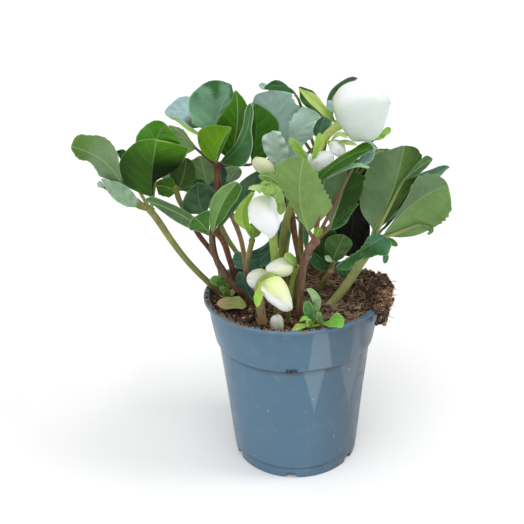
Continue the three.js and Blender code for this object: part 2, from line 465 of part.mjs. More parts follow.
// ---- flowers ------------------------------------------------------------------------------
// stem: diameter and route from the crown. bracts: blades as in LEAVES, grown on the stem's end.
// bud: base, tip and greatest radius. Each of its petals is a piece of its own where it has petals.
const FLOWERS = [
  {
    name: 'tall',
    stem: [5, [[-8, 4, 84], [-5, -6, 104], [-4, -10, 118], [-6, -12, 136], [-7, -12, 154], [-2, -12, 180],
      [8, -11, 199], [15, -10, 215], [21, -8, 225], [28, -7, 231]]],
    bracts: [
      [[25.5, -8, 234], [15, -17, 245.5], [4, -22, 256], [-0.17, -0.7, 0.69],
        [[0, 2, 5.5, 5, 2.5, 0], [0, 2, 2.5, 3.5, 1, 0]], [26, 26]],
    ],
    bud: { base: [30.5, -8.5, 232.5], tip: [56, -17, 248], radius: 15.5, petals: 5 },
  },
  {
    name: 'nodding',
    stem: [5.5, [[-12, -8, 84], [-11, -18, 106], [-11, -22, 131], [-12, -25, 151], [-13, -26, 166],
      [-13, -25, 182], [-13, -25, 193], [-14, -30, 201], [-17, -37, 203]]],
    bracts: [
      [[-17.5, -41, 203.5], [-22, -47, 207], [-26.5, -50, 206], [-0.08, -0.71, 0.7],
        [[0, 1, 4, 6, 1.5, 0], [0, 1.5, 1, 0, 0, 0]], [8, 8]],
      [[-16.5, -41, 205], [-15.5, -50, 206], [-18, -53, 203.5], [0.01, -0.77, 0.63],
        [3.5, 3.5], [12, 12]],
      [[-16, -41, 205.5], [-10, -49, 205.5], [-7.5, -49, 196.5], [0.1, -0.77, 0.63],
        [[0, 1, 1, 1, 1, 0], [0, 1.5, 3.5, 4.5, 2.5, 0]], [8, 8]],
      [[-10, -49, 201], [-8.5, -49, 196], [-9, -48.5, 190], [0.1, -0.88, 0.47],
        [2.5, 2.5], [8, 8]],
    ],
    bud: { base: [-18, -40, 200], tip: [-18, -44, 174], radius: 10.2 },
  },
  {
    name: 'lime',
    stem: [6, [[-22, -19, 84], [-22, -30, 104], [-21, -35, 112], [-22, -36, 127], [-22, -37, 138],
      [-20, -38, 144], [-15, -40, 147]]],
    bracts: [
      [[-15, -40, 147], [-21.5, -47, 142], [-24, -50, 133], [-0.6, -0.7, 0.2],
        [[0, 2, 3, 3, 2, 0], [0, 2, 3, 3, 2, 0]], [10, 10]],
    ],
    bud: { base: [-14, -42, 144], tip: [-7, -48, 128], radius: 8.8 },
  },
  {
    name: 'low_left',
    stem: [3, [[-26, -13, 84], [-26, -18, 104], [-22, -20, 120], [-18, -20, 132], [-15, -21, 138]]],
    bracts: [],
    bud: { base: [-17, -22, 138], tip: [-31, -26, 141], radius: 5.6 },
  },
  {
    name: 'low_right',
    stem: [3, [[-4, -19, 84], [-5, -24, 104], [-4, -26, 120], [-2, -27, 138], [1, -29, 149]]],
    bracts: [
      [[1, -30, 149.5], [-2, -35, 156.5], [-7, -39, 160.5], [0.01, -0.65, 0.76],
        [3.5, 3.5], [12, 12]],
    ],
    bud: { base: [-1, -32, 151], tip: [-16, -36, 154], radius: 5.2 },
  },
];

// Side buds, each grown on one of the stems above with a thin stalk of its own.
const SIDE_BUDS = [
  {
    name: 'tall_side_bud',
    parent: 'tall',
    stalk: [2.2, [[19.5, -9, 222], [22, -12, 222], [23, -13, 220]]],
    bud: { base: [22.5, -12.5, 221], tip: [29, -16, 214], radius: 4 },
    bracts: [
      [[22.5, -12.5, 221.5], [30, -18, 223], [37.5, -21, 222], [0.1, -0.65, 0.75],
        [2, 2], [14, 14]],
      [[22.5, -12.5, 221.5], [27, -17, 227.5], [31.5, -21, 226.5], [0.1, -0.71, 0.69],
        [2, 2], [14, 14]],
    ],
  },
  {
    name: 'tall_lower_bud',
    parent: 'tall',
    stalk: [2.6, [[4, -12, 191], [8, -15, 202], [11, -14, 208]]],
    bud: { base: [10, -14, 206], tip: [24, -16, 214], radius: 6.2 },
    bracts: [
      [[11, -17, 208], [4, -21, 220], [-2, -21, 227], [-0.3, -0.9, 0.3], [2.5, 2.5], [20, 20]],
      [[11, -17, 208], [14, -21, 222], [16, -22, 230], [0.3, -0.9, 0.2], [2.5, 2.5], [20, 20]],
    ],
  },
  {
    name: 'nodding_side_bud',
    parent: 'nodding',
    stalk: [2.6, [[-12, -25, 186], [-9, -22, 200], [-11, -20, 208]]],
    bud: { base: [-10, -20, 206], tip: [-24, -21, 216], radius: 4.8 },
    bracts: [],
  },
];

const SPROUT = {
  name: 'sprouting_bud',
  stem: [3.6, [[-12, -21, 84], [-12, -34, 102], [-12, -39, 110]]],
  bud: { base: [-12, -38.5, 109], tip: [-13, -43, 124], radius: 3.4 },
};

// Young leaves at soil level: where they root and their blades.
const LOW_GROWTH = [
  {
    name: 'seedling',
    stem: [2.8, [[9, -38, 98], [9, -42, 114]]],
    blades: [
      [[12, -41, 123], [14, -40, 132], [6.5, -38, 138], [-0.19, -0.81, 0.55],
        [[0, 3, 4.5, 4.5, 2, 0], [0, 0, 0.5, 1, 1.5, 0]], [10, 10]],
      [[8, -43, 115.5], [7, -43, 124.5], [6, -42, 132], [-0.09, -0.82, 0.56],
        [[0, 0.5, 2, 3, 2, 0], [0, 1, 3.5, 3.5, 2.5, 0]], [12, 12]],
      [[14.5, -46, 117.5], [20.5, -55, 125], [27, -57, 126], [0.01, -0.65, 0.76],
        [[0, 1, 0.5, 4, 2, 0], [0, 1, 3.5, 5, 5, 0]], [12, 12]],
      [[14, -45, 117], [13, -46, 121.5], [12.5, -46, 126.5], [0.01, -0.77, 0.63],
        [[0, 1, 1.5, 1, 0], [0, 2, 2, 2, 0]], [12, 12]],
      [[8.5, -45, 115], [2.5, -48, 118], [-3.5, -50, 115.5], [0.02, -0.59, 0.8],
        [2, 2], [12, 12]],
      [[8.5, -45, 115.5], [5.5, -46, 122], [1.5, -47, 120.5], [0.02, -0.59, 0.8],
        [1.5, 1.5], [14, 14]],
      [[8.5, -45, 114.5], [7, -48, 119.5], [5.5, -49, 122.5], [0.01, -0.71, 0.7],
        [2.5, 2.5], [16, 16]],
    ],
  },
  {
    name: 'young_leaves',
    stem: [2.8, [[-44, 1, 98], [-46, 1, 114.5]]],
    blades: [
      [[-47, 2, 124.5], [-51, 0, 130], [-55.5, -2, 129.5], [-0.07, -0.65, 0.76],
        [[0, 2, 5, 6, 0], [0, 1.5, 2.5, 1, 0]], [10, 10]],
      [[-47, 3, 121], [-46, 2, 127.5], [-46, 2, 131.5], [0.01, -0.77, 0.63],
        [[0, 3, 4, 2, 0], [0, 2.5, 3, 1, 0]], [10, 10]],
      [[-44, 1, 117.5], [-45.5, -1, 121.5], [-49, -2, 125], [-0.07, -0.65, 0.76],
        [[0, 2, 2.5, 2, 0], [0, 2, 2.5, 1.5, 0]], [10, 10]],
      [[-43, 1, 116.5], [-41, 0, 119.5], [-39.5, 0, 122], [0.01, -0.65, 0.76],
        [2, 2], [10, 10]],
      [[-47, 3, 126.5], [-48, 3, 131.5], [-49.5, 3, 136], [0.01, -0.83, 0.56],
        [1.5, 1.5], [10, 10]],
    ],
  },
  {
    name: 'teal_leaf',
    stem: [2.8, [[-28, -1, 98], [-28, -1, 114]]],
    blades: [
      [[-29, -2, 116], [-31.5, -2, 125], [-35, -2, 135.5], [-0.09, -0.82, 0.56],
        [[0, 3, 4, 5.5, 4, 0], [0, 5, 3.5, 3, 2, 0]], [8, 8]],
      [[-29, -1, 116.5], [-33, 0, 117], [-37, 0, 116.5], [-0.07, -0.65, 0.76],
        [2, 2], [12, 12]],
    ],
  },
];
const FALLEN_LEAF = [
  [-31.5, -17, 118], [-40.5, -17, 120], [-50.5, -13, 118.5], [0.02, -0.59, 0.8],
  [[0, 3, 3.5, 5, 2.5, 0], [0, 3, 5, 4, 3, 0]], [6, 6],
];

// ---- pot and soil -------------------------------------------------------------------------
function makePot() {
  const p = POT;
  const lipFoot = p.height - p.lipThickness;
  const outline = [
    [0, 0], [p.padRadius, 0], [p.padRadius + 1, p.floorUnderside],
    [p.footRadius - p.footRingWidth - 1, p.floorUnderside], [p.footRadius - p.footRingWidth, 0],
    [p.footRadius, 0], [p.footLineRadius, p.footLineHeight], [p.collarFootRadius, p.collarFootHeight],
    [p.collarFootRadius + p.ledge[0], p.collarFootHeight + p.ledge[1]],
    [p.collarTopRadius - p.shoulderInset, p.shoulderHeight], [p.collarTopRadius, lipFoot],
    [p.lipRadius, lipFoot], [p.lipRadius, p.height], [p.lipInnerRadius, p.height],
    [p.lipInnerRadius - 0.5, lipFoot], [p.collarFootRadius + 0.5, p.collarFootHeight + 2],
    [p.collarFootRadius - p.wall, p.collarFootHeight], [p.footLineRadius - p.wall, p.footLineHeight],
    [p.footRadius - p.wall - 0.4, p.floorTop], [0, p.floorTop],
  ];
  const half = DRAIN.width / 2;
  const notch = new THREE.Shape();
  notch.moveTo(-half, -1);
  notch.lineTo(-half, 0);
  notch.quadraticCurveTo(-half * 0.7, DRAIN.height, -half * 0.4, DRAIN.height);
  notch.lineTo(half * 0.4, DRAIN.height);
  notch.quadraticCurveTo(half * 0.7, DRAIN.height, half, 0);
  notch.lineTo(half, -1);
  const slot = { depth: DRAIN.depth, bevelEnabled: false, curveSegments: 3 };
  const cuts = [];
  for (let i = 0; i < DRAIN.count; i += 1) {
    const angle = THREE.MathUtils.degToRad(DRAIN.firstAngle + i * (360 / DRAIN.count));
    const cut = new THREE.ExtrudeGeometry(notch, slot).rotateX(Math.PI / 2);
    cuts.push(toSolid(cut.translate(0, -DRAIN.innerEnd, 0).rotateZ(angle + Math.PI / 2)));
    const hole = [DRAIN.holeCircle * Math.cos(angle), DRAIN.holeCircle * Math.sin(angle)];
    const drill = new THREE.CylinderGeometry(DRAIN.holeRadius, DRAIN.holeRadius, 2 * p.floorTop, 12);
    cuts.push(toSolid(drill.rotateX(Math.PI / 2).translate(...hole, p.floorTop)));
  }
  return toSolid(turned(outline)).subtract(joined(cuts));
}

// The space that the pot's upper wall and lip take up, with the clearance all round.
function potRoom() {
  const p = POT;
  const under = p.height - p.lipThickness - GAP;
  const ledge = p.collarFootRadius + p.ledge[0] + GAP;
  const outline = [
    [p.footLineRadius - p.wall - GAP, p.footLineHeight], [p.footLineRadius + GAP, p.footLineHeight],
    [p.collarFootRadius + GAP, p.collarFootHeight], [ledge, p.collarFootHeight + p.ledge[1] - GAP],
    [p.collarTopRadius - p.shoulderInset + GAP, p.shoulderHeight], [p.collarTopRadius + GAP, under],
    [p.lipRadius + GAP, under], [p.lipRadius + GAP, p.height + GAP],
    [p.lipInnerRadius - GAP, p.height + GAP], [p.lipInnerRadius - 0.5 - GAP, p.height - p.lipThickness],
    [p.collarFootRadius + 0.5 - GAP, p.collarFootHeight + 2],
    [p.collarFootRadius - p.wall - GAP, p.collarFootHeight],
  ];
  return toSolid(turned([...outline, outline[0]]));
}

// The soil's uneven top: a few waves over its level, and a heap at the plant's right.
function soilHeight(x, y) {
  const waves = Math.sin(0.21 * x + 0.4) * Math.cos(0.17 * y) + 0.6 * Math.sin(0.33 * y - 0.12 * x);
  const away = Math.hypot(x - SOIL.heapPlace[0], y - SOIL.heapPlace[1]) / SOIL.heapSpread;
  return SOIL.level + SOIL.rough * waves + SOIL.heapRise * Math.exp(-away * away);
}

function makeRootBall() {
  const p = POT;
  const inset = p.wall + SOIL.wallInset;
  const floor = p.floorTop + GAP;
  const outline = [
    [0, floor], [p.footRadius - inset - 0.4, floor], [p.footLineRadius - inset, p.footLineHeight + 1],
    [p.collarFootRadius - inset, p.collarFootHeight], [p.collarFootRadius, p.collarFootHeight + 3],
    [p.lipInnerRadius - SOIL.edgeInset, SOIL.edgeLevel], ...[46, 32, 16, 0].map((r) => [r, SOIL.level]),
  ];
  const body = turned(outline);
  const corner = body.attributes.position;
  for (let i = 0; i < corner.count; i += 1) {
    if (Math.abs(corner.getZ(i) - SOIL.level) < 0.01) {
      corner.setZ(i, soilHeight(corner.getX(i), corner.getY(i)));
    }
  }
  return toSolid(body);
}

// Peat heaped over the rim on the right-hand side and hanging down outside it.
function makePeatClump() {
  const lumps = [
    [[48, 14, 116], [15, 17, 6]], [[56.5, 14, 116], [12, 16, 6]], [[54, -11, 116.5], [8, 14, 6]],
    [[63, 12, 109], [6, 11, 12.5]], [[59.5, 4, 99.5], [6, 9, 11.5]],
  ];
  return joined(lumps.map(([centre, radii]) => ball(centre, radii, 8, 6)));
}

// ---- putting the plant together -----------------------------------------------------------
const plant = new THREE.Group();

function place(name, solid, [colour, roughness]) {
  const material = new THREE.MeshStandardMaterial({ color: colour, roughness, metalness: 0 });
  const mesh = new THREE.Mesh(toGeometry(solid), material);
  mesh.name = name;
  plant.add(mesh);
}

const crown = ball(CROWN.centre, CROWN.radii, 10, 6);
const crownRoom = ball(CROWN.centre, CROWN.radii.map((r) => r + GAP), 10, 6);
const sockets = [crownRoom];

// The space round a stalk outside its own knob.
function stalkRoom([diameter, route], knob) {
  return bar(route, diameter + 2 * GAP).subtract(ball(route.at(-1), knob));
}

// A bar rooted on the crown; the soil gets a socket for it, and it stops short of its own knob.
function rooted([diameter, route], knob) {
  sockets.push(bar(route, diameter + 2 * GAP));
  const whole = bar(route, diameter).subtract(crownRoom);
  return knob ? whole.subtract(ball(route.at(-1), knob + GAP)) : whole;
}

for (const leaf of LEAVES) {
  const knob = leaf.stalk[0] * KNOB;
  place(`${leaf.name}_stalk`, rooted(leaf.stalk, knob), COLOURS.stalk);
  const blades = foliage(leaf.stalk[1].at(-1), knob, leaf.blades);
  place(`${leaf.name}_blade`, blades.subtract(stalkRoom(leaf.stalk, knob)), COLOURS.leaf);
}

const stemRooms = {};
for (const flower of FLOWERS) {
  const [diameter, route] = flower.stem;
  const knob = diameter * KNOB;
  const { base, tip, radius, petals = 0 } = flower.bud;
  stemRooms[flower.name] = bar(route, diameter + 2 * GAP);
  if (flower.bracts.length) {
    place(`${flower.name}_flower_stem`, rooted(flower.stem, knob), COLOURS.stem);
    const bracts = foliage(route.at(-1), knob, flower.bracts);
    place(`${flower.name}_flower_bracts`, bracts.subtract(stalkRoom(flower.stem, knob)), COLOURS.bract);
  } else {
    place(`${flower.name}_flower_stem`, rooted(flower.stem).add(ball(route.at(-1), knob)), COLOURS.stem);
  }
  for (let i = 0; i < petals; i += 1) {
    const layer = PETAL_LAYER * (1 - ((i * 2) % petals));
    const patch = petal(base, tip, radius, 20 + i * (360 / petals), 50, layer);
    place(`${flower.name}_petal_${i + 1}`, patch, COLOURS.tepal);
  }
  if (!petals) {
    const closed = bud(base, tip, radius).subtract(ball(route.at(-1), knob + GAP));
    place(`${flower.name}_flower_bud`, closed, COLOURS.tepal);
  }
}

for (const { name, parent, stalk: [diameter, route], bud: { base, tip, radius }, bracts } of SIDE_BUDS) {
  const whole = joined([bar(route, diameter), bud(base, tip, radius), ...bracts.map(blade)]);
  place(name, whole.subtract(stemRooms[parent]), COLOURS.tepal);
}

const { base: sproutBase, tip: sproutTip, radius: sproutRadius } = SPROUT.bud;
place(SPROUT.name, rooted(SPROUT.stem).add(bud(sproutBase, sproutTip, sproutRadius)), COLOURS.tepal);
sockets.push(bud(sproutBase, sproutTip, sproutRadius + GAP));

for (const { name, stem: [diameter, route], blades } of LOW_GROWTH) {
  const leaves = foliage(route.at(-1), diameter / 2, blades);
  place(name, bar(route, diameter).add(leaves), COLOURS.youngLeaf);
  const [x, y, z] = route[0];
  sockets.push(bar([[x, y, z - GAP], ...route], diameter + 2 * GAP));
}
place('fallen_leaf', blade(FALLEN_LEAF), COLOURS.oldLeaf);

place('pot', makePot(), COLOURS.pot);
place('rhizome_crown', crown, COLOURS.crown);
const rootBall = makeRootBall();
place('root_ball', rootBall.subtract(joined(sockets)), COLOURS.soil);
const widen = 1 + 1.4 * GAP / POT.collarFootRadius;
const soilRoom = rootBall.scale([widen, widen, 1]).translate([0, 0, GAP]);
place('peat_clump', makePeatClump().subtract(soilRoom).subtract(potRoom()), COLOURS.soil);

export default plant;
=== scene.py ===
"""A young white hellebore in its nursery pot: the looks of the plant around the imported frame.

Lengths in this file are millimetres in the frame's axes; MM turns them into metres.
"""

import math

import bpy
import numpy as np
from mathutils import Matrix


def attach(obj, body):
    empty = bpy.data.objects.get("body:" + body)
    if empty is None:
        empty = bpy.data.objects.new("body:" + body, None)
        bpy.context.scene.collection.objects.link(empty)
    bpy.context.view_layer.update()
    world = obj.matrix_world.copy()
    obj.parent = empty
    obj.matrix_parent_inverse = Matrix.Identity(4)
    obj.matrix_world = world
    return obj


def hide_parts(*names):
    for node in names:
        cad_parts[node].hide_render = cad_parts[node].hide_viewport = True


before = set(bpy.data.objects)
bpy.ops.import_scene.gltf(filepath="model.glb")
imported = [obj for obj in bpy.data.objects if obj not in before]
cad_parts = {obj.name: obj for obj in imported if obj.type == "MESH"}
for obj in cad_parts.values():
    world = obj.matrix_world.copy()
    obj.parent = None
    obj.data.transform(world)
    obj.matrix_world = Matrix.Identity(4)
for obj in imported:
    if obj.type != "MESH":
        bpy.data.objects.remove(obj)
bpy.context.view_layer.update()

MM = 0.001
BODY = "root"


# ---- camera ---------------------------------------------------------------------------------
CAMERA = {
    "target": (-20.26, 0, 141.1),
    "distance": 460.5,
    "elevation": 22.6,
    "roll": -1.917,
    "lens": 48.09,
}


def make_camera():
    elevation, roll = math.radians(CAMERA["elevation"]), math.radians(CAMERA["roll"])
    back = np.array([0, -math.cos(elevation), math.sin(elevation)])
    level = np.array([1.0, 0, 0])
    upright = np.cross(back, level)
    right = math.cos(roll) * level + math.sin(roll) * upright
    up = -math.sin(roll) * level + math.cos(roll) * upright
    place = np.array(CAMERA["target"]) + back * CAMERA["distance"]
    data = bpy.data.cameras.new("camera")
    data.lens = CAMERA["lens"]
    data.sensor_width = 36
    data.clip_start = 0.01
    camera = bpy.data.objects.new("camera", data)
    turn = np.eye(4)
    turn[:3, 0], turn[:3, 1], turn[:3, 2], turn[:3, 3] = right, up, back, place * MM
    camera.matrix_world = Matrix(turn.tolist())
    bpy.context.scene.collection.objects.link(camera)
    bpy.context.scene.camera = camera


make_camera()


# ---- colours --------------------------------------------------------------------------------
def paint(red, green, blue):
    """A display colour from 0 to 255 as the linear colour that nodes take."""
    shares = [v / 255 for v in (red, green, blue)]
    return tuple(s / 12.92 if s <= 0.04045 else ((s + 0.055) / 1.055) ** 2.4 for s in shares)


# Pale grey-blue upper-side tone: the leaves' waxy bloom together with a painted reflection of the bright sky.
GLAUCOUS_SHEEN = paint(112, 148, 128)
BLUE_GREEN = paint(70, 108, 88)
# Pale grey-blue upper-side tone: the leaves' waxy bloom together with a painted reflection of the bright sky.
SILVER_SHEEN = paint(160, 186, 184)
DARK_GREEN = paint(34, 68, 22)
TEAL = paint(40, 78, 62)
LEAF_GREEN = paint(52, 98, 16)
FRESH_GREEN = paint(92, 146, 34)
LIME = paint(160, 200, 84)
PALE_LIME = paint(184, 208, 136)
UNDER_PALE = paint(132, 168, 104)
UNDER_GREEN = paint(98, 136, 84)
UNDER_GREY = paint(118, 150, 118)
UNDER_DARK = paint(44, 74, 26)
VEIN_PALE = paint(176, 204, 150)
BROWN_STALK = paint(92, 58, 44)
RED_STALK = paint(96, 48, 40)
OLIVE_STALK = paint(118, 126, 62)
GREEN_STALK = paint(150, 176, 84)
TAN_STALK = paint(176, 148, 112)
WHITE = paint(250, 255, 254)
IVORY = paint(232, 240, 200)


# ---- mesh helpers ---------------------------------------------------------------------------
def unit(v):
    return v / np.maximum(np.linalg.norm(v, axis=-1, keepdims=True), 1e-9)


def smooth(x, low, high):
    """0 below low, 1 above high, with a soft step between."""
    t = np.clip((x - low) / (high - low), 0, 1)
    return t * t * (3 - 2 * t)


def noise(points, scale, seed=0):
    """Smooth noise from -1 to 1 in space; scale is the size of its lumps in mm."""
    p = np.asarray(points, float) / scale + 13.7 * seed + 500
    cell = np.floor(p).astype(np.int64)
    f = p - cell
    f = f * f * (3 - 2 * f)
    total = 0
    for corner in np.ndindex(2, 2, 2):
        at = cell + np.array(corner)
        mixed = (at[..., 0] * 73856093) ^ (at[..., 1] * 19349663) ^ (at[..., 2] * 83492791)
        mixed = (mixed ^ (mixed >> 13)) * 1274126177 & 0xFFFFFFFF
        value = ((mixed ^ (mixed >> 16)) & 0xFFFF) / 32767.5 - 1
        total = total + value * np.prod(np.where(np.array(corner) == 1, f, 1 - f), axis=-1)
    return total


def curve_through(points, count):
    """count points on a smooth curve through the given points."""
    p = np.array(points, float)
    if len(p) == 2:
        return p[0] + np.linspace(0, 1, count)[:, None] * (p[1] - p[0])
    p = np.vstack([2 * p[0] - p[1], p, 2 * p[-1] - p[-2]])
    gaps = np.sqrt(np.linalg.norm(np.diff(p, axis=0), axis=1))
    knots = np.concatenate([[0], np.cumsum(gaps)])
    where = np.linspace(knots[1], knots[-2], count)
    out = []
    for t in where:
        i = min(max(np.searchsorted(knots, t, side="right") - 1, 1), len(p) - 3)
        k, q = knots[i - 1:i + 3], p[i - 1:i + 3]
        a = [((k[j + 1] - t) * q[j] + (t - k[j]) * q[j + 1]) / (k[j + 1] - k[j]) for j in range(3)]
        b = [((k[j + 2] - t) * a[j] + (t - k[j]) * a[j + 1]) / (k[j + 2] - k[j]) for j in range(2)]
        out.append(((k[2] - t) * b[0] + (t - k[1]) * b[1]) / (k[2] - k[1]))
    return np.array(out)


def grid_faces(rows, columns, start=0, wrap=False):
    """Quads between the points of a grid, which face the way that column x row turns."""
    i, j = np.meshgrid(np.arange(rows - 1), np.arange(columns if wrap else columns - 1), indexing="ij")
    k = (j + 1) % columns
    quads = np.stack([i * columns + j, i * columns + k, (i + 1) * columns + k, (i + 1) * columns + j], -1)
    return quads.reshape(-1, 4) + start


class Piece:
    """The sheets, tubes and knobs that make one visible piece."""

    def __init__(self):
        self.points, self.faces, self.skins, self.tints, self.lines = [], [], [], [], []
        self.count = 0

    def add(self, points, faces, tint, lines=(5, 0.5, 5)):
        """Points with a colour and leaf lines each; faces is an array, or (array, material index) pairs."""
        points = np.asarray(points, float).reshape(-1, 3)
        n = len(points)
        self.points.append(points)
        tint = np.asarray(tint, float)
        if tint.shape[-1] == 3:
            tint = np.concatenate([tint, np.full((*tint.shape[:-1], 1), 0.4)], -1)
        self.tints.append(np.broadcast_to(tint, (n, 4)))
        self.lines.append(np.broadcast_to(np.asarray(lines, float), (n, 3)))
        for group, skin in faces if isinstance(faces, list) else [(faces, 0)]:
            self.faces.extend((group + self.count).tolist())
            self.skins.append(np.full(len(group), skin))
        self.count += n

    def sheet(self, middle, above, below, tints, lines, skins=(0, 1)):
        """A closed thin sheet round a grid of points: above and below are its two half thicknesses."""
        rows, columns = middle.shape[:2]
        normal = unit(np.cross(np.gradient(middle, axis=1), np.gradient(middle, axis=0)))
        top = middle + normal * np.broadcast_to(above, (rows, columns))[..., None]
        bottom = middle - normal * np.broadcast_to(below, (rows, columns))[..., None]
        n = rows * columns
        up = grid_faces(rows, columns)
        down = grid_faces(rows, columns, n)[:, ::-1]
        index = np.arange(n).reshape(rows, columns)
        rim = np.concatenate([index[:, 0][::-1], index[0, 1:], index[1:, -1], index[-1, 1:-1][::-1]])
        after = np.roll(rim, -1)
        wall = np.stack([rim, rim + n, after + n, after], -1)
        colours = np.concatenate([np.asarray(t, float).reshape(n, -1) for t in tints])
        marks = np.broadcast_to(np.asarray(lines, float), (rows, columns, 3)).reshape(-1, 3)
        self.add(np.concatenate([top.reshape(-1, 3), bottom.reshape(-1, 3)]),
                 [(up, skins[0]), (down, skins[1]), (wall, skins[1])],
                 colours, np.concatenate([marks, marks]))

    def tube(self, points, radii, tint, sides=12, ribs=0):
        """A closed round bar along the points; ribs is how deep its lengthwise ribs are."""
        line = np.asarray(points, float)
        n = len(line)
        radii = np.broadcast_to(radii, n)
        along = unit(np.gradient(line, axis=0))
        first = np.cross(along[0], [0, 0, 1] if abs(along[0][2]) < 0.9 else [1, 0, 0])
        normals = [unit(first)]
        for a in along[1:]:
            normals.append(unit(normals[-1] - a * (normals[-1] @ a)))
        normals = np.array(normals)
        other = np.cross(along, normals)
        turn = np.linspace(0, 2 * np.pi, sides, endpoint=False)
        reach = radii[:, None] * (1 + ribs * np.cos(3 * turn)[None, :])
        ring = (line[:, None] + reach[..., None] * (np.cos(turn)[None, :, None] * normals[:, None]
                                                    + np.sin(turn)[None, :, None] * other[:, None]))
        body = grid_faces(n, sides, 0, True)
        tints = np.repeat(np.broadcast_to(np.asarray(tint, float), (n, 3)), sides, axis=0)
        ends = np.array([[*range(sides)][::-1], [*range((n - 1) * sides, n * sides)]])
        self.add(ring, body, tints)
        self.faces.extend((ends + self.count - n * sides).tolist())
        self.skins.append(np.zeros(2, int))

    def knob(self, centre, radii, tint, rough=0.0, seed=0, rows=9, columns=14):
        """A rounded lump."""
        lat = np.linspace(-np.pi / 2, np.pi / 2, rows)[1:-1]
        lon = np.linspace(0, 2 * np.pi, columns, endpoint=False)
        ring = np.stack([np.cos(lat)[:, None] * np.cos(lon), np.cos(lat)[:, None] * np.sin(lon),
                         np.repeat(np.sin(lat)[:, None], columns, 1)], -1)
        points = np.concatenate([ring.reshape(-1, 3), [[0, 0, -1], [0, 0, 1]]])
        points = points * np.broadcast_to(radii, 3)
        if rough:
            lumps = noise(points + np.array(centre), np.max(radii) * 0.8, seed)
            points = points * (1 + rough * lumps)[:, None]
        body = grid_faces(len(lat), columns, 0, True)
        k = np.arange(columns)
        low, high = len(points) - 2, len(points) - 1
        top_row = (len(lat) - 1) * columns
        foot = np.stack([(k + 1) % columns, k, np.full(columns, low)], -1)
        head = np.stack([top_row + k, top_row + (k + 1) % columns, np.full(columns, high)], -1)
        self.add(points + np.array(centre), [(body, 0), (foot, 0), (head, 0)], tint)

    def finish(self, name, slot, materials, *nodes, sharp=70):
        mesh = bpy.data.meshes.new(name)
        mesh.from_pydata((np.concatenate(self.points) * MM).tolist(), [], self.faces)
        mesh.polygons.foreach_set("material_index", np.concatenate(self.skins).astype(np.int32))
        tint = mesh.attributes.new("tint", "FLOAT_COLOR", "POINT")
        tints = np.concatenate(self.tints)
        tint.data.foreach_set("color", tints.ravel().astype(np.float32))
        lines = mesh.attributes.new("lines", "FLOAT_VECTOR", "POINT")
        lines.data.foreach_set("vector", np.concatenate(self.lines).ravel().astype(np.float32))
        mesh.shade_smooth()
        mesh.set_sharp_from_angle(angle=math.radians(sharp))
        mesh.update()
        return show(name, mesh, slot, materials, *nodes)


def show(name, mesh, slot, materials, *nodes):
    """Puts a mesh in the scene as a piece that stands for the named nodes."""
    for material in materials:
        mesh.materials.append(material)
    thing = bpy.data.objects.new(name, mesh)
    bpy.context.scene.collection.objects.link(thing)
    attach(thing, BODY)
    if nodes:
        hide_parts(*nodes)
    return thing


# ---- material helpers -----------------------------------------------------------------------
def add_node(tree, kind, inputs=None, **settings):
    """A shader node with its settings and inputs; an input may be a value or another node's socket."""
    node = tree.nodes.new(kind)
    for key, value in settings.items():
        setattr(node, key, value)
    for key, value in (inputs or {}).items():
        socket = node.inputs[key]
        if isinstance(value, bpy.types.NodeSocket):
            tree.links.new(value, socket)
        elif socket.type == "RGBA" and len(value) == 3:
            socket.default_value = (*value, 1)
        else:
            socket.default_value = value
    return node


def blend_colours(tree, share, first, second):
    node = add_node(tree, "ShaderNodeMix", data_type="RGBA")
    for socket, value in ((node.inputs[0], share), (node.inputs[6], first), (node.inputs[7], second)):
        if isinstance(value, bpy.types.NodeSocket):
            tree.links.new(value, socket)
        elif isinstance(value, (int, float)):
            socket.default_value = value
        else:
            socket.default_value = (*value, 1)
    return node.outputs[2]


def reckon(tree, operation, *values):
    return add_node(tree, "ShaderNodeMath", dict(enumerate(values)), operation=operation).outputs[0]


def ramp(tree, value, low, high, out_low=0.0, out_high=1.0):
    """value from low to high, as out_low to out_high with a soft start and end."""
    inputs = {"Value": value, "From Min": low, "From Max": high, "To Min": out_low, "To Max": out_high}
    return add_node(tree, "ShaderNodeMapRange", inputs, interpolation_type="SMOOTHSTEP").outputs[0]


def new_group(name, inputs, outputs):
    """An empty shader group with the named sockets: (name, kind, default) and (name, kind)."""
    group = bpy.data.node_groups.new(name, "ShaderNodeTree")
    for label, kind, value in inputs:
        socket = group.interface.new_socket(name=label, in_out="INPUT", socket_type=f"NodeSocket{kind}")
        socket.default_value = (*value, 1) if kind == "Color" else value
    for label, kind in outputs:
        group.interface.new_socket(name=label, in_out="OUTPUT", socket_type=f"NodeSocket{kind}")
    start = group.nodes.new("NodeGroupInput")
    end = group.nodes.new("NodeGroupOutput")
    return group, start.outputs, end


def speckle_group():
    """Uneven colour: soft blotches and fine grain over the given colour."""
    group, given, end = new_group("living_tone", [
        ("Colour", "Color", (0.5, 0.5, 0.5)), ("Blotch", "Float", 0.2), ("Blotch Size", "Float", 90.0),
        ("Grain", "Float", 0.1), ("Grain Size", "Float", 900.0)],
        [("Colour", "Color"), ("Grain", "Float")])
    place = add_node(group, "ShaderNodeTexCoord").outputs["Object"]
    blotch = add_node(group, "ShaderNodeTexNoise", {
        "Vector": place, "Scale": given["Blotch Size"], "Detail": 3.0, "W": 0.0},
        noise_dimensions="4D").outputs[0]
    grain = add_node(group, "ShaderNodeTexNoise", {
        "Vector": place, "Scale": given["Grain Size"], "Detail": 2.0}).outputs[0]
    wave = reckon(group, "MULTIPLY", reckon(group, "SUBTRACT", blotch, 0.5), given["Blotch"])
    fine = reckon(group, "MULTIPLY", reckon(group, "SUBTRACT", grain, 0.5), given["Grain"])
    level = reckon(group, "ADD", reckon(group, "MULTIPLY", reckon(group, "ADD", wave, fine), 2.0), 1.0)
    scaled = add_node(group, "ShaderNodeVectorMath", {0: given["Colour"], "Scale": level}, operation="SCALE")
    group.links.new(scaled.outputs[0], end.inputs["Colour"])
    group.links.new(grain, end.inputs["Grain"])
    return group


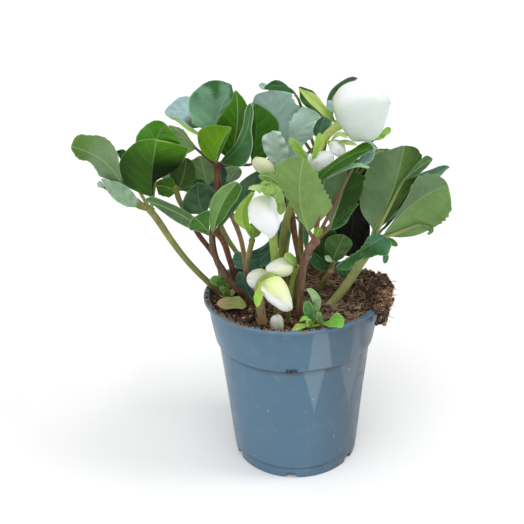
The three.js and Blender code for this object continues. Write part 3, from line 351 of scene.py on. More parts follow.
def vein_group():
    """The lines of a leaf from its "lines" attribute: mm from the midrib, vein count, mm from the margin."""
    group, given, end = new_group("leaf_lines", [
        ("Colour", "Color", (0.1, 0.3, 0.05)), ("Vein Colour", "Color", VEIN_PALE),
        ("Midrib", "Float", 0.8), ("Veins", "Float", 0.35), ("Net", "Float", 0.15), ("Margin", "Float", 0.7),
        ("Midrib Width", "Float", 0.7)],
        [("Colour", "Color"), ("Height", "Float")])
    marks = add_node(group, "ShaderNodeAttribute", attribute_name="lines").outputs["Vector"]
    rim = add_node(group, "ShaderNodeAttribute", attribute_name="tint").outputs["Alpha"]
    x, y, z = add_node(group, "ShaderNodeSeparateXYZ", {0: marks}).outputs
    place = add_node(group, "ShaderNodeTexCoord").outputs["Object"]
    bends = add_node(group, "ShaderNodeTexNoise", {"Vector": place, "Scale": 140.0, "Detail": 2.0}).outputs[0]
    count = reckon(group, "ADD", y, reckon(group, "MULTIPLY", reckon(group, "SUBTRACT", bends, 0.5), 0.5))
    rib = ramp(group, x, 0.0, given["Midrib Width"], 1.0, 0.0)
    away = reckon(group, "PINGPONG", count, 0.5)
    side = ramp(group, away, 0.0, 0.1, 1.0, 0.0)
    inner = ramp(group, z, 0.2, 4.0)
    side = reckon(group, "MULTIPLY", side, inner)
    cells = add_node(group, "ShaderNodeTexVoronoi", {"Vector": place, "Scale": 520.0},
                     feature="DISTANCE_TO_EDGE").outputs[0]
    net = ramp(group, cells, 0.0, 0.12, 1.0, 0.0)
    margin = ramp(group, z, 0.1, 0.9, 1.0, 0.0)
    ribbed = reckon(group, "MULTIPLY", rib, given["Midrib"])
    veined = reckon(group, "MULTIPLY", side, given["Veins"])
    netted = reckon(group, "MULTIPLY", net, given["Net"])
    edged = reckon(group, "MULTIPLY", margin, reckon(group, "MULTIPLY", rim, given["Margin"]))
    strong, faint = reckon(group, "MAXIMUM", ribbed, veined), reckon(group, "MAXIMUM", netted, edged)
    line = reckon(group, "MAXIMUM", strong, faint)
    bright = add_node(group, "ShaderNodeRGBToBW", {0: given["Colour"]}).outputs[0]
    line = reckon(group, "MULTIPLY", line, ramp(group, bright, 0.0, 0.14, 0.12, 1.0))
    colour = blend_colours(group, line, given["Colour"], given["Vein Colour"])
    height = reckon(group, "ADD", reckon(group, "MULTIPLY", reckon(group, "MAXIMUM", rib, side), 0.6),
                    reckon(group, "MULTIPLY", net, 0.25))
    group.links.new(colour, end.inputs["Colour"])
    group.links.new(height, end.inputs["Height"])
    return group


LIVING_TONE = speckle_group()
LEAF_LINES = vein_group()


def use_group(tree, group, values):
    node = tree.nodes.new("ShaderNodeGroup")
    node.node_tree = group
    for key, value in values.items():
        if isinstance(value, bpy.types.NodeSocket):
            tree.links.new(value, node.inputs[key])
        else:
            node.inputs[key].default_value = (*value, 1) if isinstance(value, tuple) else value
    return node.outputs


def new_material(name):
    material = bpy.data.materials.new(name)
    material.use_nodes = True
    tree = material.node_tree
    return material, tree, tree.nodes["Principled BSDF"]


def connect(tree, shader, colour, roughness, height, strength, distance):
    """Gives a shader its colour, its roughness (a value or a socket) and a bump from the height."""
    tree.links.new(colour, shader.inputs["Base Color"])
    if isinstance(roughness, bpy.types.NodeSocket):
        tree.links.new(roughness, shader.inputs["Roughness"])
    else:
        shader.inputs["Roughness"].default_value = roughness
    values = {"Height": height, "Strength": strength, "Distance": distance}
    bump = add_node(tree, "ShaderNodeBump", values)
    tree.links.new(bump.outputs[0], shader.inputs["Normal"])


def let_light_in(shader, weight, radius, scale):
    """Light that enters the skin: its share, how far each colour goes, and the distance in metres."""
    shader.inputs["Subsurface Weight"].default_value = weight
    shader.inputs["Subsurface Radius"].default_value = radius
    shader.inputs["Subsurface Scale"].default_value = scale


def tinted(tree):
    return add_node(tree, "ShaderNodeAttribute", attribute_name="tint").outputs["Color"]


def leaf_material(name, lines, roughness, bump, glow=0.25, shine=0.1):
    """The skin of one side of the leaves."""
    material, tree, shader = new_material(name)
    tone = use_group(tree, LIVING_TONE, {
        "Colour": tinted(tree), "Blotch": 0.34, "Blotch Size": 70.0, "Grain": 0.22, "Grain Size": 1400.0})
    veins = use_group(tree, LEAF_LINES, {"Colour": tone["Colour"], **lines})
    gloss = ramp(tree, tone["Grain"], 0.3, 0.7, roughness - 0.06, roughness + 0.08)
    connect(tree, shader, veins["Colour"], gloss, veins["Height"], bump, 0.0004)
    shader.inputs["Specular IOR Level"].default_value = shine
    let_light_in(shader, glow, (0.6, 1.0, 0.2), 0.0008)
    return material


LEAF_UPPER = leaf_material("leaf_upper", {
    "Vein Colour": VEIN_PALE, "Midrib": 0.3, "Veins": 0.1, "Net": 0.03, "Margin": 0.8, "Midrib Width": 0.5},
    0.33, -0.5, shine=0.16)
LEAF_UNDER = leaf_material("leaf_under", {
    "Vein Colour": paint(168, 194, 132), "Midrib": 0.44, "Veins": 0.11, "Net": 0.05, "Margin": 0.6,
    "Midrib Width": 0.6}, 0.5, 0.5, shine=0.08)
BRACT = leaf_material("bract_skin", {
    "Vein Colour": PALE_LIME, "Midrib": 0.5, "Veins": 0.3, "Net": 0.05, "Margin": 0.6, "Midrib Width": 0.5},
    0.42, 0.3, glow=0.35)


def petal_material():
    material, tree, shader = new_material("petal_white")
    tone = use_group(tree, LIVING_TONE, {
        "Colour": tinted(tree), "Blotch": 0.05, "Blotch Size": 160.0, "Grain": 0.04, "Grain Size": 1600.0})
    veins = use_group(tree, LEAF_LINES, {
        "Colour": tone["Colour"], "Vein Colour": paint(214, 228, 205), "Midrib": 0.1, "Veins": 0.22,
        "Net": 0.03, "Margin": 0.0})
    connect(tree, shader, veins["Colour"], 0.42, veins["Height"], -0.25, 0.0003)
    let_light_in(shader, 0.35, (1.0, 1.0, 0.8), 0.0012)
    return material


PETAL = petal_material()


def stalk_material():
    """Stalk skin: lengthwise streaks and small dark flecks over the tint."""
    material, tree, shader = new_material("stalk_skin")
    place = add_node(tree, "ShaderNodeTexCoord").outputs["Object"]
    stretched = add_node(tree, "ShaderNodeMapping", {"Vector": place, "Scale": (1.0, 1.0, 0.12)}).outputs[0]
    streak = add_node(tree, "ShaderNodeTexNoise", {
        "Vector": stretched, "Scale": 900.0, "Detail": 3.0}).outputs[0]
    flecks = add_node(tree, "ShaderNodeTexVoronoi", {"Vector": stretched, "Scale": 700.0}).outputs[0]
    fleck = ramp(tree, flecks, 0.05, 0.26, 0.7, 0.0)
    tone = use_group(tree, LIVING_TONE, {
        "Colour": tinted(tree), "Blotch": 0.5, "Blotch Size": 110.0, "Grain": 0.2, "Grain Size": 1500.0})
    light = blend_colours(tree, ramp(tree, streak, 0.35, 0.7, 0.0, 0.2), tone["Colour"], paint(186, 172, 124))
    dark = blend_colours(tree, fleck, light, paint(52, 26, 22))
    connect(tree, shader, dark, 0.42, streak, 0.35, 0.0005)
    shader.inputs["Specular IOR Level"].default_value = 0.15
    let_light_in(shader, 0.15, (1.0, 0.8, 0.3), 0.001)
    return material


STALK = stalk_material()


def peat_material():
    material, tree, shader = new_material("peat")
    tone = use_group(tree, LIVING_TONE, {
        "Colour": tinted(tree), "Blotch": 0.9, "Blotch Size": 320.0, "Grain": 0.6, "Grain Size": 1800.0})
    connect(tree, shader, tone["Colour"], 0.93, tone["Grain"], 0.8, 0.0008)
    return material


PEAT = peat_material()


# Painted reflections: paler wedges down the front of the pot, where its gloss would mirror the bright floor.
# Each is (middle, top, bottom, half width at the top, how fast it narrows downwards, how strong it is).
PAINTED_REFLECTIONS = [
    (10, 87.5, 50, 7.5, 0.21, 0.26), (13.5, 117, 90, 5, -0.12, 0.24),
    (34, 88, 50, 8, 0.2, 0.13), (37, 117, 90, 2, -0.1, 0.1),
]


def paint_reflections(tree, place, colour):
    """Painted reflections: lightens the colour inside each of the wedges above on the pot's front."""
    x, y, z = add_node(tree, "ShaderNodeSeparateXYZ", {0: place}).outputs
    front = reckon(tree, "LESS_THAN", y, 0.0)
    for middle, top, bottom, half, slope, share in PAINTED_REFLECTIONS:
        down = reckon(tree, "SUBTRACT", top * MM, z)
        wide = reckon(tree, "SUBTRACT", half * MM, reckon(tree, "MULTIPLY", down, slope))
        off = reckon(tree, "ABSOLUTE", reckon(tree, "SUBTRACT", x, middle * MM))
        inside = ramp(tree, reckon(tree, "SUBTRACT", wide, off), -0.0002, 0.0016, 0.0, share)
        level = reckon(tree, "COMPARE", z, (top + bottom) / 2 * MM, (top - bottom) / 2 * MM)
        mask = reckon(tree, "MULTIPLY", inside, reckon(tree, "MULTIPLY", level, front))
        colour = blend_colours(tree, mask, colour, paint(158, 178, 188))
    return colour


def pot_material():
    """Moulded nursery plastic: fine moulding grain, rubbed streaks, specks of peat, dried water marks and
    painted reflections.
    """
    material, tree, shader = new_material("pot_plastic")
    place = add_node(tree, "ShaderNodeTexCoord").outputs["Object"]
    tone = use_group(tree, LIVING_TONE, {
        "Colour": tinted(tree), "Blotch": 0.06, "Blotch Size": 26.0, "Grain": 0.05, "Grain Size": 900.0})
    stretched = add_node(tree, "ShaderNodeMapping", {"Vector": place, "Scale": (1.0, 1.0, 0.5)}).outputs[0]
    rub = add_node(tree, "ShaderNodeTexNoise", {
        "Vector": stretched, "Scale": 160.0, "Detail": 5.0}).outputs[0]
    rubbed = blend_colours(tree, ramp(tree, rub, 0.5, 0.75, 0.0, 0.06), tone["Colour"], paint(150, 170, 182))
    spots = add_node(tree, "ShaderNodeTexVoronoi", {"Vector": place, "Scale": 210.0, "Randomness": 1.0})
    near = ramp(tree, spots.outputs["Distance"], 0.05, 0.13, 1.0, 0.0)
    red, green, blue = add_node(tree, "ShaderNodeSeparateColor", {0: spots.outputs["Color"]}).outputs
    few = ramp(tree, red, 0.8, 0.84)
    speck = reckon(tree, "MULTIPLY", near, few)
    light = reckon(tree, "GREATER_THAN", green, 0.72)
    spot_tone = blend_colours(tree, light, paint(52, 52, 50), paint(196, 204, 204))
    dirty = blend_colours(tree, reckon(tree, "MULTIPLY", speck, 0.8), rubbed, spot_tone)
    marks = add_node(tree, "ShaderNodeTexNoise", {"Vector": place, "Scale": 75.0, "Detail": 6.0}).outputs[0]
    film = ramp(tree, marks, 0.55, 0.72, 0.0, 0.08)
    colour = blend_colours(tree, film, dirty, paint(168, 176, 176))
    # Painted reflections of the bright floor on the pot's front.
    colour = paint_reflections(tree, place, colour)
    gloss = ramp(tree, marks, 0.4, 0.7, 0.3, 0.46)
    grain = add_node(tree, "ShaderNodeTexNoise", {"Vector": place, "Scale": 1100.0, "Detail": 2.0}).outputs[0]
    connect(tree, shader, colour, gloss, grain, 0.06, 0.0004)
    return material


POT_PLASTIC = pot_material()


# ---- pot ------------------------------------------------------------------------------------
POT = {
    "height": 120, "lip": 60, "lip_inner": 56.5, "lip_foot": 118, "neck": 115, "collar_top": 57.8,
    "collar_middle": 108, "collar_foot": 88, "body_top": 51.5, "body_end": 84, "waist": (47.6, 48),
    "foot_line": (44.2, 8), "line_top": 9.6, "foot": 43.4, "wall": 1.1, "floor_top": 4.8, "floor_under": 3,
    "ring": 2.6, "pad": 9,
}
POT_BLUE = paint(76, 112, 137)
LIP_DUST = paint(118, 108, 92)
DRAIN = {"count": 6, "first": -97, "width": 9.5, "height": 4, "hole": 3.5, "circle": 33}
DRAIN_STEP = 2 * math.pi / DRAIN["count"]
POT_SEGMENTS = 288


def rounded(outline, steps=4):
    """The outline with its corners rounded; each corner is (radius, height, rounding)."""
    points = [np.array(outline[0][:2], float)]
    for before, corner, after in zip(outline, outline[1:], outline[2:]):
        a, b, c = (np.array(p[:2], float) for p in (before, corner, after))
        reach = corner[2]
        start = b + (a - b) / np.linalg.norm(a - b) * min(reach, np.linalg.norm(a - b) * 0.48)
        stop = b + (c - b) / np.linalg.norm(c - b) * min(reach, np.linalg.norm(c - b) * 0.48)
        for t in np.linspace(0, 1, steps):
            points.append((1 - t) ** 2 * start + 2 * t * (1 - t) * b + t * t * stop)
    points.append(np.array(outline[-1][:2], float))
    return np.array(points)


def pot_outline():
    """Corners of the pot's section, from the middle underneath up the outside and down the inside."""
    p = POT
    line_reach, line_height = p["foot_line"]
    ring_inside = p["foot"] - p["ring"]
    return [
        (0.01, 0, 0), (p["pad"], 0, 0.5), (p["pad"] + 1, p["floor_under"], 0.8),
        (ring_inside - 1, p["floor_under"], 0.5), (ring_inside, 0, 0.5),
        (p["foot"], 0, 0.7), (line_reach - 0.5, line_height - 1.2, 0.5),
        (line_reach + 0.1, line_height, 0.6), (line_reach + 0.2, p["line_top"], 0.3),
        (*p["waist"], 10), (p["body_top"] - 0.3, p["body_end"], 0.3),
        (p["body_top"], p["collar_foot"], 0.5), (p["body_top"] + 1.9, p["collar_foot"] + 1.0, 0.9),
        (p["body_top"] + 2.5, p["collar_foot"] + 4, 1.5), (p["collar_top"] - 1.2, p["collar_middle"], 6),
        (p["collar_top"] - 0.6, p["neck"], 0.3),
        (p["collar_top"] - 0.2, p["lip_foot"] - 0.4, 0.6), (p["lip"], p["lip_foot"] - 0.2, 0.7),
        (p["lip"], p["height"], 0.8), (p["lip_inner"], p["height"], 0.7),
        (p["lip_inner"] - 0.6, p["lip_foot"], 0.8), (p["body_top"] + 0.5, p["collar_foot"] + 2, 1),
        (p["body_top"] - p["wall"], p["collar_foot"] - 1, 0.5),
        (line_reach - p["wall"], line_height, 1),
        (p["foot"] - p["wall"] - 0.6, p["floor_top"], 0.8), (0.01, p["floor_top"], 0),
    ]


def notch_foot_ring(points, profile, turn):
    """Raises the foot ring into an arch at each drain notch."""
    off = (turn - math.radians(DRAIN["first"]) + DRAIN_STEP / 2) % DRAIN_STEP - DRAIN_STEP / 2
    arch = DRAIN["height"] * smooth(DRAIN["width"] / 2 - np.abs(off) * POT["foot"], 0, 2.4)
    ring = (profile[:, 0] > POT["foot"] - POT["ring"] - 0.8) & (profile[:, 1] < DRAIN["height"])
    ring &= np.arange(len(profile)) < len(profile) // 2
    points[ring, :, 2] = np.maximum(points[ring, :, 2], arch)


def pot_tints_and_painted_light(points, profile):
    """The pot's blue with painted shade under the collar and the lip, in the foot line and on the right side,
    a painted highlight along the lip's top, and a dusty lip.
    """
    p = POT
    z = profile[:, 1]
    outer = np.arange(len(profile)) < len(profile) // 2
    line = p["foot_line"][1]
    # Painted shade under the collar and the lip and in the foot line, a painted highlight on the lip's top,
    # and painted shade towards the right side.
    level = 1 - 0.5 * outer * smooth(z, p["body_end"], p["collar_foot"] - 0.5) * (z < p["collar_foot"] + 0.6)
    level = level - 0.35 * outer * smooth(z, p["neck"], p["lip_foot"] - 0.6) * (z < p["lip_foot"])
    level = level - 0.45 * outer * smooth(z, line - 1.6, line - 0.6) * (z < line + 0.9)
    level = level + 0.4 * smooth(z, p["height"] - 1.4, p["height"] - 0.2)
    level = level[:, None] * (1 - 0.58 * smooth(points[..., 0] / p["lip"], 0.0, 0.75))
    dust = smooth(noise(points, 3.2, 12) + 0.5 * noise(points, 1.5, 13) - points[..., 0] / 90, -0.3, 0.7)
    dust = 0.9 * dust * smooth(z, p["height"] - 1.6, p["height"] - 0.4)[:, None]
    tints = level[..., None] * np.array(POT_BLUE)
    return tints + (np.array(LIP_DUST) - tints) * dust[..., None]


def drill_floor(thing):
    """Cuts the drain holes through the pot's floor."""
    drills = Piece()
    for i in range(DRAIN["count"]):
        angle = math.radians(DRAIN["first"]) + i * DRAIN_STEP
        centre = np.array([DRAIN["circle"] * math.cos(angle), DRAIN["circle"] * math.sin(angle), 0])
        drills.tube([centre, centre + [0, 0, 8]], DRAIN["hole"], WHITE, 28)
    drill = bpy.data.meshes.new("drills")
    drill.from_pydata((np.concatenate(drills.points) * MM).tolist(), [], drills.faces)
    tool = bpy.data.objects.new("drills", drill)
    bpy.context.scene.collection.objects.link(tool)
    holes = thing.modifiers.new("holes", "BOOLEAN")
    holes.object, holes.operation, holes.solver = tool, "DIFFERENCE", "EXACT"
    bake(thing)
    bpy.data.objects.remove(tool)


def make_pot():
    profile = rounded(pot_outline())
    turn = np.linspace(0, 2 * np.pi, POT_SEGMENTS, endpoint=False)
    points = np.stack([profile[:, :1] * np.cos(turn), profile[:, :1] * np.sin(turn),
                       np.repeat(profile[:, 1:], POT_SEGMENTS, 1)], -1)
    notch_foot_ring(points, profile, turn)
    wave = 0.12 * noise(points, 34, 3)[..., None] * smooth(points[..., 2:], 8, 60)
    points[..., :2] *= 1 + wave / POT["lip"]
    pot = Piece()
    faces = grid_faces(len(profile), POT_SEGMENTS, 0, True)
    pot.add(points, faces, pot_tints_and_painted_light(points, profile).reshape(-1, 3))
    thing = pot.finish("nursery_pot", "pot_plastic", [POT_PLASTIC], "pot", sharp=50)
    weld = thing.modifiers.new("close", "WELD")
    weld.merge_threshold = 0.05 * MM
    drill_floor(thing)
    thing.data.set_sharp_from_angle(angle=math.radians(50))


def bake(thing):
    """Applies a piece's modifiers to its mesh."""
    graph = bpy.context.evaluated_depsgraph_get()
    done = bpy.data.meshes.new_from_object(thing.evaluated_get(graph))
    old = thing.data
    thing.modifiers.clear()
    thing.data = done
    bpy.data.meshes.remove(old)


make_pot()


# ---- peat -----------------------------------------------------------------------------------
SOIL = {
    "level": 112.6, "edge": 115.6, "heap": (46, 14), "heap_rise": 6, "heap_spread": 18, "radius": 55.8,
    "crumbs": 1500, "fibres": 1100, "fine_roots": 420, "lip_crumbs": 90, "lip_middle": 58,
    "on_the_lip": POT["height"] + 0.2,
}
PIT = [(0.02, 5.2), (41.4, 5.2), (42.6, 9), (49.8, 87), (51.2, 91), (54.8, 108)]  # the peat's side in the pot
LEDGE = {"x": (-7.2, -5.4, -4.2, -2), "y": -54.2, "z": 89.7, "tone": paint(74, 62, 54)}
PEAT_BROWN = paint(92, 66, 48)
CLUMP_BROWN = paint(86, 66, 52)
CLUMP = {"crumbs": 420, "fibres": 420, "spilt": 170, "beside_lip": 60, "beside": 60.4, "voxel": 0.9}
PEAT_TONES = [paint(*c) for c in (
    (58, 42, 32), (80, 58, 42), (104, 72, 50), (126, 84, 60), (150, 112, 80), (176, 146, 108), (36, 26, 22))]
FIBRE_TONES = [paint(*c) for c in (
    (150, 112, 78), (186, 156, 118), (116, 74, 52), (90, 60, 44), (206, 184, 150), (132, 92, 64))]
ROOT_TONES = [paint(*c) for c in ((176, 158, 126), (150, 132, 102), (122, 110, 92), (196, 180, 148))]


def soil_height(x, y):
    waves = np.sin(0.21 * x + 0.4) * np.cos(0.17 * y) + 0.6 * np.sin(0.33 * y - 0.12 * x)
    away = np.hypot(x - SOIL["heap"][0], y - SOIL["heap"][1]) / SOIL["heap_spread"]
    base = SOIL["level"] + 0.9 * waves + SOIL["heap_rise"] * np.exp(-away * away)
    spot = np.stack([x, y, 0 * x], -1)
    rough = 1.3 * noise(spot, 7, 1) + 0.9 * noise(spot, 3.1, 2) + 0.5 * noise(spot, 1.4, 3)
    drop = smooth(np.hypot(x, y), 47, 56)
    return base * (1 - drop) + (SOIL["edge"] + 3 * np.exp(-away * away)) * drop + rough


def ground(x, y):
    return float(soil_height(np.array(x), np.array(y)))


def pick(rng, tones):
    return np.array(tones[rng.integers(len(tones))]) * rng.uniform(0.75, 1.2)


def add_crumb(piece, rng, centre, size, level=1.0):
    radii = size * rng.uniform(0.55, 1.2, 3)
    tone = pick(rng, PEAT_TONES) * level
    piece.knob(centre, radii, tone, rough=0.5, seed=int(rng.integers(99)), rows=5, columns=6)


def add_fibre(piece, rng, start, heading, length, radius, lift=0.35, steps=7, tones=FIBRE_TONES):
    """A bent root or fibre from start, which wanders as it goes."""
    heading = unit(np.array(heading, float))
    bend = rng.normal(0, 0.35, 3)
    points = [np.array(start, float)]
    for _ in range(steps - 1):
        heading = unit(heading + bend / steps * 1.6 + rng.normal(0, 0.16, 3))
        heading[2] = heading[2] * 0.8 + lift * rng.normal(0, 0.25)
        points.append(points[-1] + heading * length / steps)
    sizes = radius * np.linspace(1, 0.45, steps)
    piece.tube(points, sizes, pick(rng, tones), sides=4)


def soil_body(columns=220, rings=84):
    """The peat's surface up its side in the pot and over its uneven top, with its colours."""
    turn = np.linspace(0, 2 * np.pi, columns, endpoint=False)
    radius = SOIL["radius"] * np.linspace(0, 1, rings)[::-1] ** 0.85
    radius[-1] = 0.02
    x, y = radius[:, None] * np.cos(turn), radius[:, None] * np.sin(turn)
    top = np.stack([x, y, soil_height(x, y)], -1)
    reach, z = np.hsplit(np.array(PIT), 2)
    wall = np.stack([reach * np.cos(turn), reach * np.sin(turn), np.repeat(z, columns, 1)], -1)
    points = np.concatenate([wall, top])
    shade = 0.6 + 0.5 * noise(points, 2.5, 9) + 0.25 * noise(points, 0.9, 4)
    tints = np.clip(shade, 0.12, 1.4)[..., None] * np.array(PEAT_BROWN)
    return points, grid_faces(len(points), columns, 0, True), tints.reshape(-1, 3)


def strew_crumbs(peat, rng):
    for _ in range(SOIL["crumbs"]):
        r, a = 55 * math.sqrt(rng.uniform(0.02, 1)), rng.uniform(0, 2 * math.pi)
        x, y = r * math.cos(a), r * math.sin(a)
        size = rng.choice([0.5, 0.8, 1.2, 1.9], p=[0.35, 0.35, 0.2, 0.1])
        add_crumb(peat, rng, (x, y, ground(x, y) + size * 0.35), size)


def strew_fibres(peat, rng):
    """Fibres all over the peat; those near the pot's wall head inwards."""
    for _ in range(SOIL["fibres"]):
        r, a = 53 * math.sqrt(rng.uniform(0, 1)), rng.uniform(0, 2 * math.pi)
        x, y = r * math.cos(a), r * math.sin(a)
        start = (x, y, ground(x, y) + rng.uniform(0.1, 1.2))
        way = rng.uniform(0, 2 * math.pi)
        heading = np.array([math.cos(way), math.sin(way), rng.uniform(-0.1, 0.35)])
        inward = -np.array([x, y, 0]) / 56
        add_fibre(peat, rng, start, heading + inward * smooth(np.array(r), 44, 53),
                  rng.uniform(3, 9), rng.uniform(0.12, 0.32))


def strew_fine_roots(peat, rng):
    """Pale thin roots over the front and right of the peat."""
    for _ in range(SOIL["fine_roots"]):
        x, y = rng.uniform(6, 50), rng.uniform(-34, 22)
        if math.hypot(x, y) < 50:
            start = (x, y, ground(x, y) + rng.uniform(0.4, 1.6))
            way = rng.uniform(0, 2 * math.pi)
            add_fibre(peat, rng, start, (math.cos(way), math.sin(way), 0.1), rng.uniform(6, 15),
                      rng.uniform(0.1, 0.2), lift=0.2, tones=ROOT_TONES)


def strew_on_pot(peat, rng):
    """A few crumbs on the ledge under the collar, and small ones on the lip."""
    for x in LEDGE["x"]:
        spot = (x, LEDGE["y"], LEDGE["z"])
        peat.knob(spot, rng.uniform(0.6, 1.3, 3), LEDGE["tone"], rough=0.5, rows=5, columns=6)
    for _ in range(SOIL["lip_crumbs"]):
        turn = math.radians(rng.uniform(150, 285))
        reach = SOIL["lip_middle"]
        spot = np.array([reach * math.cos(turn), reach * math.sin(turn), SOIL["on_the_lip"]])
        add_crumb(peat, rng, spot, rng.choice([0.4, 0.6, 0.9]), 0.8)


def make_root_ball():
    """Peat filling the pot, with an uneven crumbly top full of roots."""
    rng = np.random.default_rng(11)
    peat = Piece()
    peat.add(*soil_body())
    for strew in (strew_crumbs, strew_fibres, strew_fine_roots, strew_on_pot):
        strew(peat, rng)
    peat.finish("peat_in_pot", "peat", [PEAT], "root_ball")


# The heap over the rim is these lumps grown together: (centre, radii).
LUMPS = [
    ((48, 14, 116), (15, 17, 6)), ((56.5, 14, 116), (12, 16, 6)), ((54, -11, 116.5), (8, 14, 6)),
    ((63, 12, 109), (5.5, 11, 12)), ((59.5, 4, 99.5), (5.5, 9, 11)),
]


def heap_surface():
    """Points, normals and faces of the lumps grown together, with a bumpy surface."""
    lump = Piece()
    for i, (centre, radii) in enumerate(LUMPS):
        lump.knob(centre, radii, PEAT_TONES[1], rough=0.22, seed=i, rows=24, columns=36)
    thing = lump.finish("peat_over_rim", "peat", [PEAT], "peat_clump")
    remesh = thing.modifiers.new("join", "REMESH")
    remesh.mode, remesh.voxel_size = "VOXEL", CLUMP["voxel"] * MM
    bake(thing)
    mesh = thing.data
    points = np.empty(len(mesh.vertices) * 3, np.float32)
    normals = np.empty(len(mesh.vertices) * 3, np.float32)
    mesh.vertices.foreach_get("co", points)
    mesh.vertices.foreach_get("normal", normals)
    points, normals = points.reshape(-1, 3) / MM, normals.reshape(-1, 3)
    faces = [list(p.vertices) for p in mesh.polygons]
    bpy.data.objects.remove(thing)
    swell = 1.3 * noise(points, 5, 6) + 1.0 * noise(points, 2.2, 7) + 0.5 * noise(points, 1.2, 8)
    return points + normals * (swell - 0.4)[:, None], normals, faces


def strew_on_heap(peat, rng, points, normals):
    """Crumbs and hanging fibres over the outside of the heap."""
    outside = np.flatnonzero((points[:, 2] > 114) | (np.hypot(points[:, 0], points[:, 1]) > 61))
    for i in rng.choice(outside, CLUMP["crumbs"]):
        add_crumb(peat, rng, points[i], rng.choice([0.5, 0.8, 1.3, 1.8]), 0.75)
    for i in rng.choice(outside, CLUMP["fibres"]):
        heading = normals[i] * 0.1 + rng.normal(0, 0.7, 3) - [0, 0, 0.25]
        add_fibre(peat, rng, points[i], heading, rng.uniform(2.5, 6.5), rng.uniform(0.12, 0.32))


def strew_round_heap(peat, rng):
    """Crumbs and fibres spilt on the lip in front of the heap, and crumbs stuck below the lip."""
    for _ in range(CLUMP["spilt"]):
        turn, reach = math.radians(rng.uniform(-35, 2)), rng.uniform(56.8, 61.2)
        z = SOIL["on_the_lip"] + rng.uniform(0, 1.6)
        spot = np.array([reach * math.cos(turn), reach * math.sin(turn), z])
        add_crumb(peat, rng, spot, rng.choice([0.6, 0.9, 1.3, 1.9]), 0.6)
        if rng.uniform() < 0.5:
            heading = [math.cos(turn), math.sin(turn), rng.uniform(-1.2, 0.1)]
            add_fibre(peat, rng, spot, heading, rng.uniform(4, 11), rng.uniform(0.12, 0.3))
    for _ in range(CLUMP["beside_lip"]):
        turn, z = math.radians(rng.uniform(-34, -6)), rng.uniform(107, 118)
        reach = CLUMP["beside"]
        spot = np.array([reach * math.cos(turn), reach * math.sin(turn), z])
        add_crumb(peat, rng, spot, rng.choice([0.6, 1.0, 1.6]), 0.6)


def make_peat_clump():
    """Peat heaped over the rim at the plant's right, hanging down outside it."""
    rng = np.random.default_rng(5)
    points, normals, faces = heap_surface()
    shade = np.clip(0.62 + 0.5 * noise(points, 2.4, 9) + 0.25 * noise(points, 1.0, 4), 0.12, 1.4)
    n = len(points)
    peat = Piece()
    peat.points, peat.faces, peat.count = [points], faces, n
    peat.tints = [np.hstack([shade[:, None] * np.array(CLUMP_BROWN), np.ones((n, 1))])]
    peat.lines = [np.full((n, 3), 5.0)]
    peat.skins = [np.zeros(len(faces), int)]
    strew_on_heap(peat, rng, points, normals)
    strew_round_heap(peat, rng)
    peat.finish("peat_over_rim", "peat", [PEAT], "peat_clump")


make_root_ball()
make_peat_clump()


# ---- stalks ---------------------------------------------------------------------------------
KNOB = 0.62  # radius of the knob under the leaflets, as a share of the stalk's diameter


def gradient(tones, count):
    """count colours that run evenly through the given ones."""
    tones = np.array(tones)
    at = np.linspace(0, len(tones) - 1, count)
    return np.stack([np.interp(at, range(len(tones)), tones[:, k]) for k in range(3)], -1)


def add_stalk(piece, diameter, route, tones, seed=0, knob=True):
    """A slightly crooked stalk along its route, with a knob at its upper end if asked for."""
    steps = 7 * len(route)
    line = curve_through(route, steps)
    crooked = np.stack([noise(line, 16, seed + k) for k in range(3)], -1)
    line = line + 0.35 * crooked * np.sin(np.linspace(0, np.pi, steps))[:, None]
    t = np.linspace(0, 1, steps)
    radii = diameter / 2 * (1.06 - 0.12 * np.sin(np.pi * t) + 0.05 * noise(line, 9, seed))
    piece.tube(line, radii, gradient(tones, steps), sides=18, ribs=0.05)
    if knob:
        piece.knob(line[-1], diameter * np.array([0.6, 0.6, 0.62]), tones[-1], rough=0.15, seed=seed)


# ---- leaves ---------------------------------------------------------------------------------
# A leaflet is (base, mid, tip, way its upper side looks, widths, fold, looks). Its midrib is a parabola
# through base, mid and tip. The widths of its left and right half are a number for an oval half, or a list
# for a drawn one: from base to tip, without the two ends, where it is 0. The fold lifts the halves by so many
# degrees; it may be a pair, and so may a tone of the looks, for the left and the right half.
# Where a tone is a pair, the darker of the two is mostly painted shade on the half turned away from the
# light.
LEAFLET = {
    "peak": 0.6, "full": (0.75, 0.5), "cup": 0.0, "ruffle": 0.7, "ruffles": 2.2, "teeth": 0.35, "tooth": 3.2,
    "toothed_from": 0.42, "pucker": 0.4, "spacing": 6.5, "slant": 0.26, "thick": 0.42, "keel": 0.5,
    "upper": LEAF_GREEN, "under": UNDER_GREEN, "base_tone": None, "tip_tone": None, "blotch": None,
    "edge_shade": (0, 0), "rim": 0.45, "rows": 64, "columns": 21,
}
SMALL_SPAN = 18  # leaflets shorter than this have the coarser grid
SMALL = {"rows": 36, "columns": 15}
STEM = 0.6  # half width of the leaflet's own stem
# Ways that leaflets often look: to the front and more or less up, or to the back and down.
FRONT_LOW = (0, -0.88, 0.47)
FRONT_MIDDLE = (0.01, -0.77, 0.63)
FRONT_HIGH = (0.01, -0.71, 0.7)
FRONT_STEEP = (0.01, -0.65, 0.76)
BACK_DOWN = (-0.1, 0.95, -0.29)


def through(values, at):
    """A smooth curve through evenly spaced values; at runs from 0 to 1."""
    v = np.array(values, float)
    p = np.concatenate([[2 * v[0] - v[1]], v, [2 * v[-1] - v[-2]]])
    x = at * (len(v) - 1)
    i = np.clip(x.astype(int), 0, len(v) - 2)
    f = x - i
    a, b, c, d = p[i], p[i + 1], p[i + 2], p[i + 3]
    squared, cubed = 2 * a - 5 * b + 4 * c - d, 3 * b - a - 3 * c + d
    return 0.5 * (2 * b + (c - a) * f + squared * f ** 2 + cubed * f ** 3)


